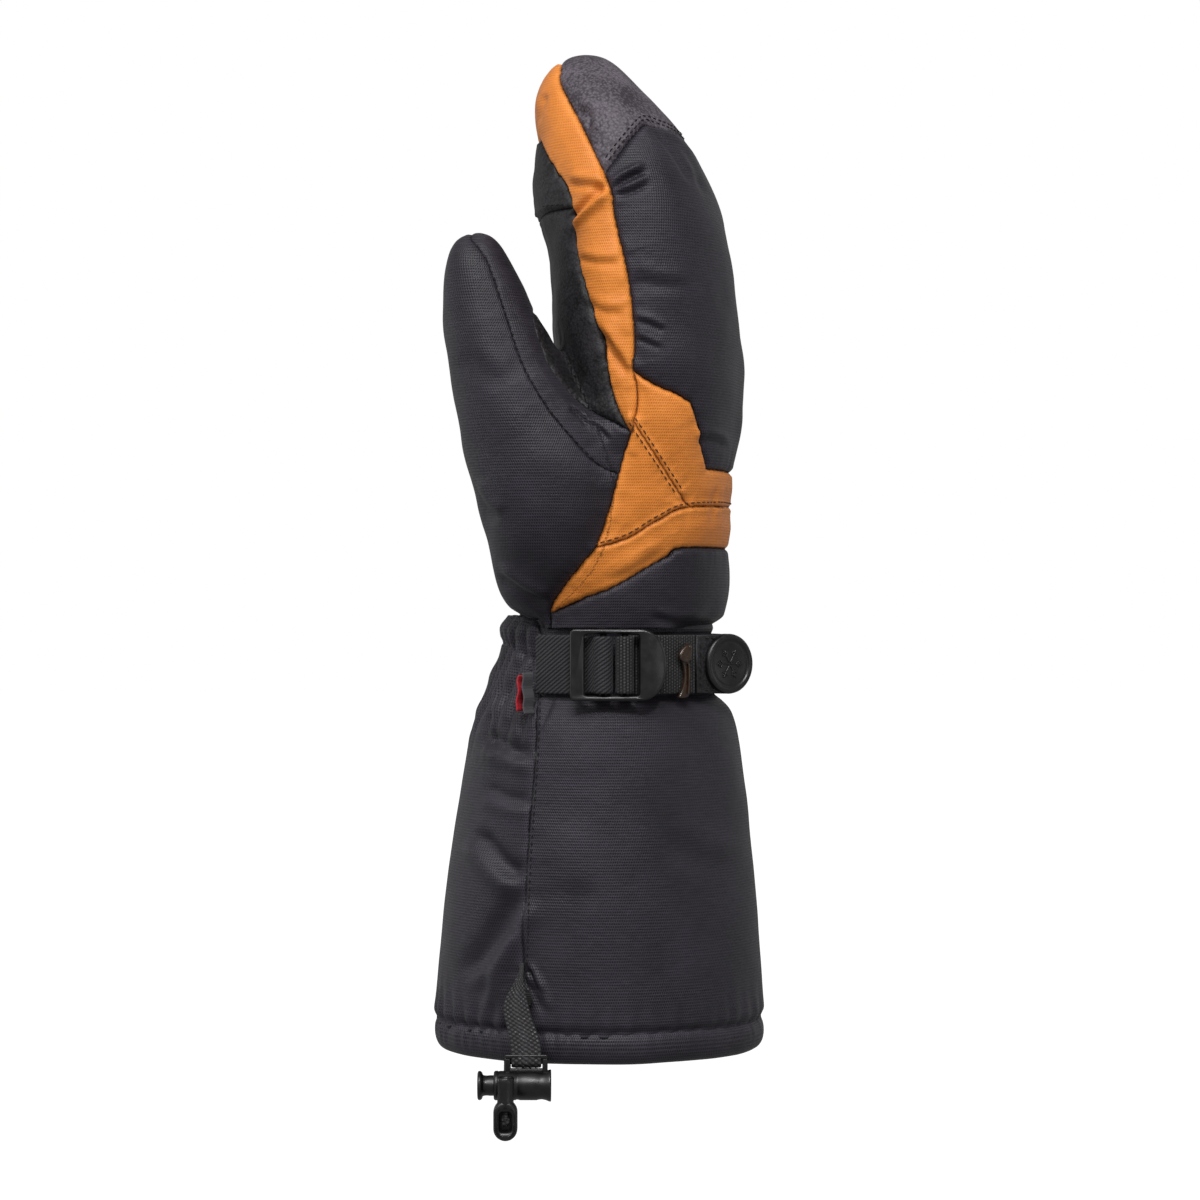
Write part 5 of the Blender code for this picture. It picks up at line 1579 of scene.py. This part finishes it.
def lay(tree, line, side):
    """The places on the skin straight behind a line seen from one side, and the skin's normals there."""
    spots, normals = [], []
    for x, z in line:
        spot, normal, _, _ = tree.ray_cast(Vector((x, side * 150, z)), Vector((0, -side, 0)))
        if spot is not None:
            spots.append(spot)
            normals.append(normal if normal.y * side > 0 else -normal)
    return np.array(spots), np.array(normals)


def beside(line, offset):
    """The line moved sideways, to its left."""
    return line + offset * to_left(directions(line))


STITCH, PITCH = 1.9, 2.6
# name, seam, offsets, thread, slot, sides
STITCHES = [
    ("cap", [(4.0, 310.3), *CAP_EDGE[2:]], (1.4, 2.8), THREAD, "leather", (-1, 1)),
    ("chevron", BAND_CHEVRON[1:], (1.4,), ORANGE_THREAD, "orange", (-1, 1)),
    ("diagonal", BAND_DIAGONAL[1:-1], (-1.3, 1.3), ORANGE_THREAD, "orange", (-1, 1)),
    ("thumb_main", [*THUMB_SEAM[2:-1], (5.2, 204.6)], (0.0,), THREAD, "shell", (-1,)),
    ("thumb_pad", THUMB_PAD_SEAM[1:5], (0.9,), THREAD, "leather", (-1,)),
    ("patch", [(-20, 297.7), (-11.5, 297)], (0.7,), THREAD, "leather", (-1, 1)),
    ("cuff_side", CUFF_SIDE[2:], (1.2,), THREAD, "shell", (-1, 1)),
]


def make_stitches(skins):
    """The rows of stitches, laid on the panels beside their seams."""
    tree = skin_tree(skins)
    for name, seam, offsets, material, slot, sides in STITCHES:
        line = rounded(seam, 0.25)
        for row, offset in enumerate(offsets):
            for side in sides:
                label = f"{name}_stitches_{row + 1}_{'near' if side < 0 else 'far'}"
                obj = thread_row(label, *lay(tree, beside(line, offset), side), STITCH, PITCH, 0.24)
                wear(obj, material)
                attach(obj, "mitten")


# ---------------------------------------------------------------- light and camera
def aimed(obj, way):
    obj.rotation_euler = Vector(way).to_track_quat("-Z", "Y").to_euler()


def studio():
    """A white floor that gives no light, a white background, soft lamps and a window."""
    bpy.ops.mesh.primitive_plane_add(size=40, location=(0, 0, -0.45))
    floor = bpy.context.object
    floor.name = "floor"
    pale = bpy.data.materials.new("floor_white")
    pale.use_nodes = True
    for socket, value in (
        ("Base Color", (0.2, 0.2, 0.2, 1)), ("Roughness", 1.0), ("Specular IOR Level", 0.0),
        ("Emission Color", (1, 1, 1, 1)), ("Emission Strength", 0.9),
    ):
        pale.node_tree.nodes["Principled BSDF"].inputs[socket].default_value = value
    floor.visible_diffuse = floor.visible_glossy = False
    floor.data.materials.append(pale)
    world = bpy.data.worlds.new("white")
    world.use_nodes = True
    nodes, links = world.node_tree.nodes, world.node_tree.links
    # the background is seen at full strength, and lights the mitten at a third of it
    strength = nodes.new("ShaderNodeMapRange")
    strength.inputs["To Min"].default_value, strength.inputs["To Max"].default_value = 0.33, 1.0
    links.new(nodes.new("ShaderNodeLightPath").outputs["Is Camera Ray"], strength.inputs["Value"])
    links.new(strength.outputs[0], nodes["Background"].inputs["Strength"])
    nodes["Background"].inputs["Color"].default_value = (1, 1, 1, 1)
    SCENE.world = world
    SCENE.view_settings.view_transform = "Standard"
    sun = bpy.data.lights.new("window", "SUN")
    sun.energy, sun.angle = 2.2, math.radians(28)
    aimed(linked("window", sun), (0.2, 0.66, -0.95))
    middle = Vector((0, 0, 0.17))
    for name, place, power, size in (
        ("key", (-0.8, -0.75, 0.7), 1.9, 0.3), ("fill", (0.8, -0.9, 0.1), 0.8, 0.4),
        ("strip", (0.15, -0.8, 0.85), 3.9, 0.12), ("rim_left", (-0.8, 0.2, 0.25), 0.8, 0.35),
        ("rim_right", (0.85, 0.25, 0.3), 0.3, 0.35),
    ):
        lamp = bpy.data.lights.new(name, "AREA")
        lamp.energy, lamp.size = power, size
        obj = linked(name, lamp)
        obj.location = place
        aimed(obj, middle - Vector(place))


def camera():
    """Level with the mitten's middle and square to its side, as in the photo."""
    lens = bpy.data.cameras.new("camera")
    lens.sensor_width, lens.lens = 36, 95.83
    obj = linked("camera", lens)
    obj.location = (0.00036, -1.15, 0.1602)
    obj.rotation_euler = (math.pi / 2, 0, 0)
    SCENE.camera = obj


camera()
studio()
hand_skins = make_hand()
cuff_skins = make_cuff()
make_hem()
make_linings()
make_badge(*make_strap())
make_buckle()
make_pair_hook()
make_labels()
make_tether()
make_lock()
make_pull()
make_hem_drawcord()
make_stitches(hand_skins + cuff_skins)
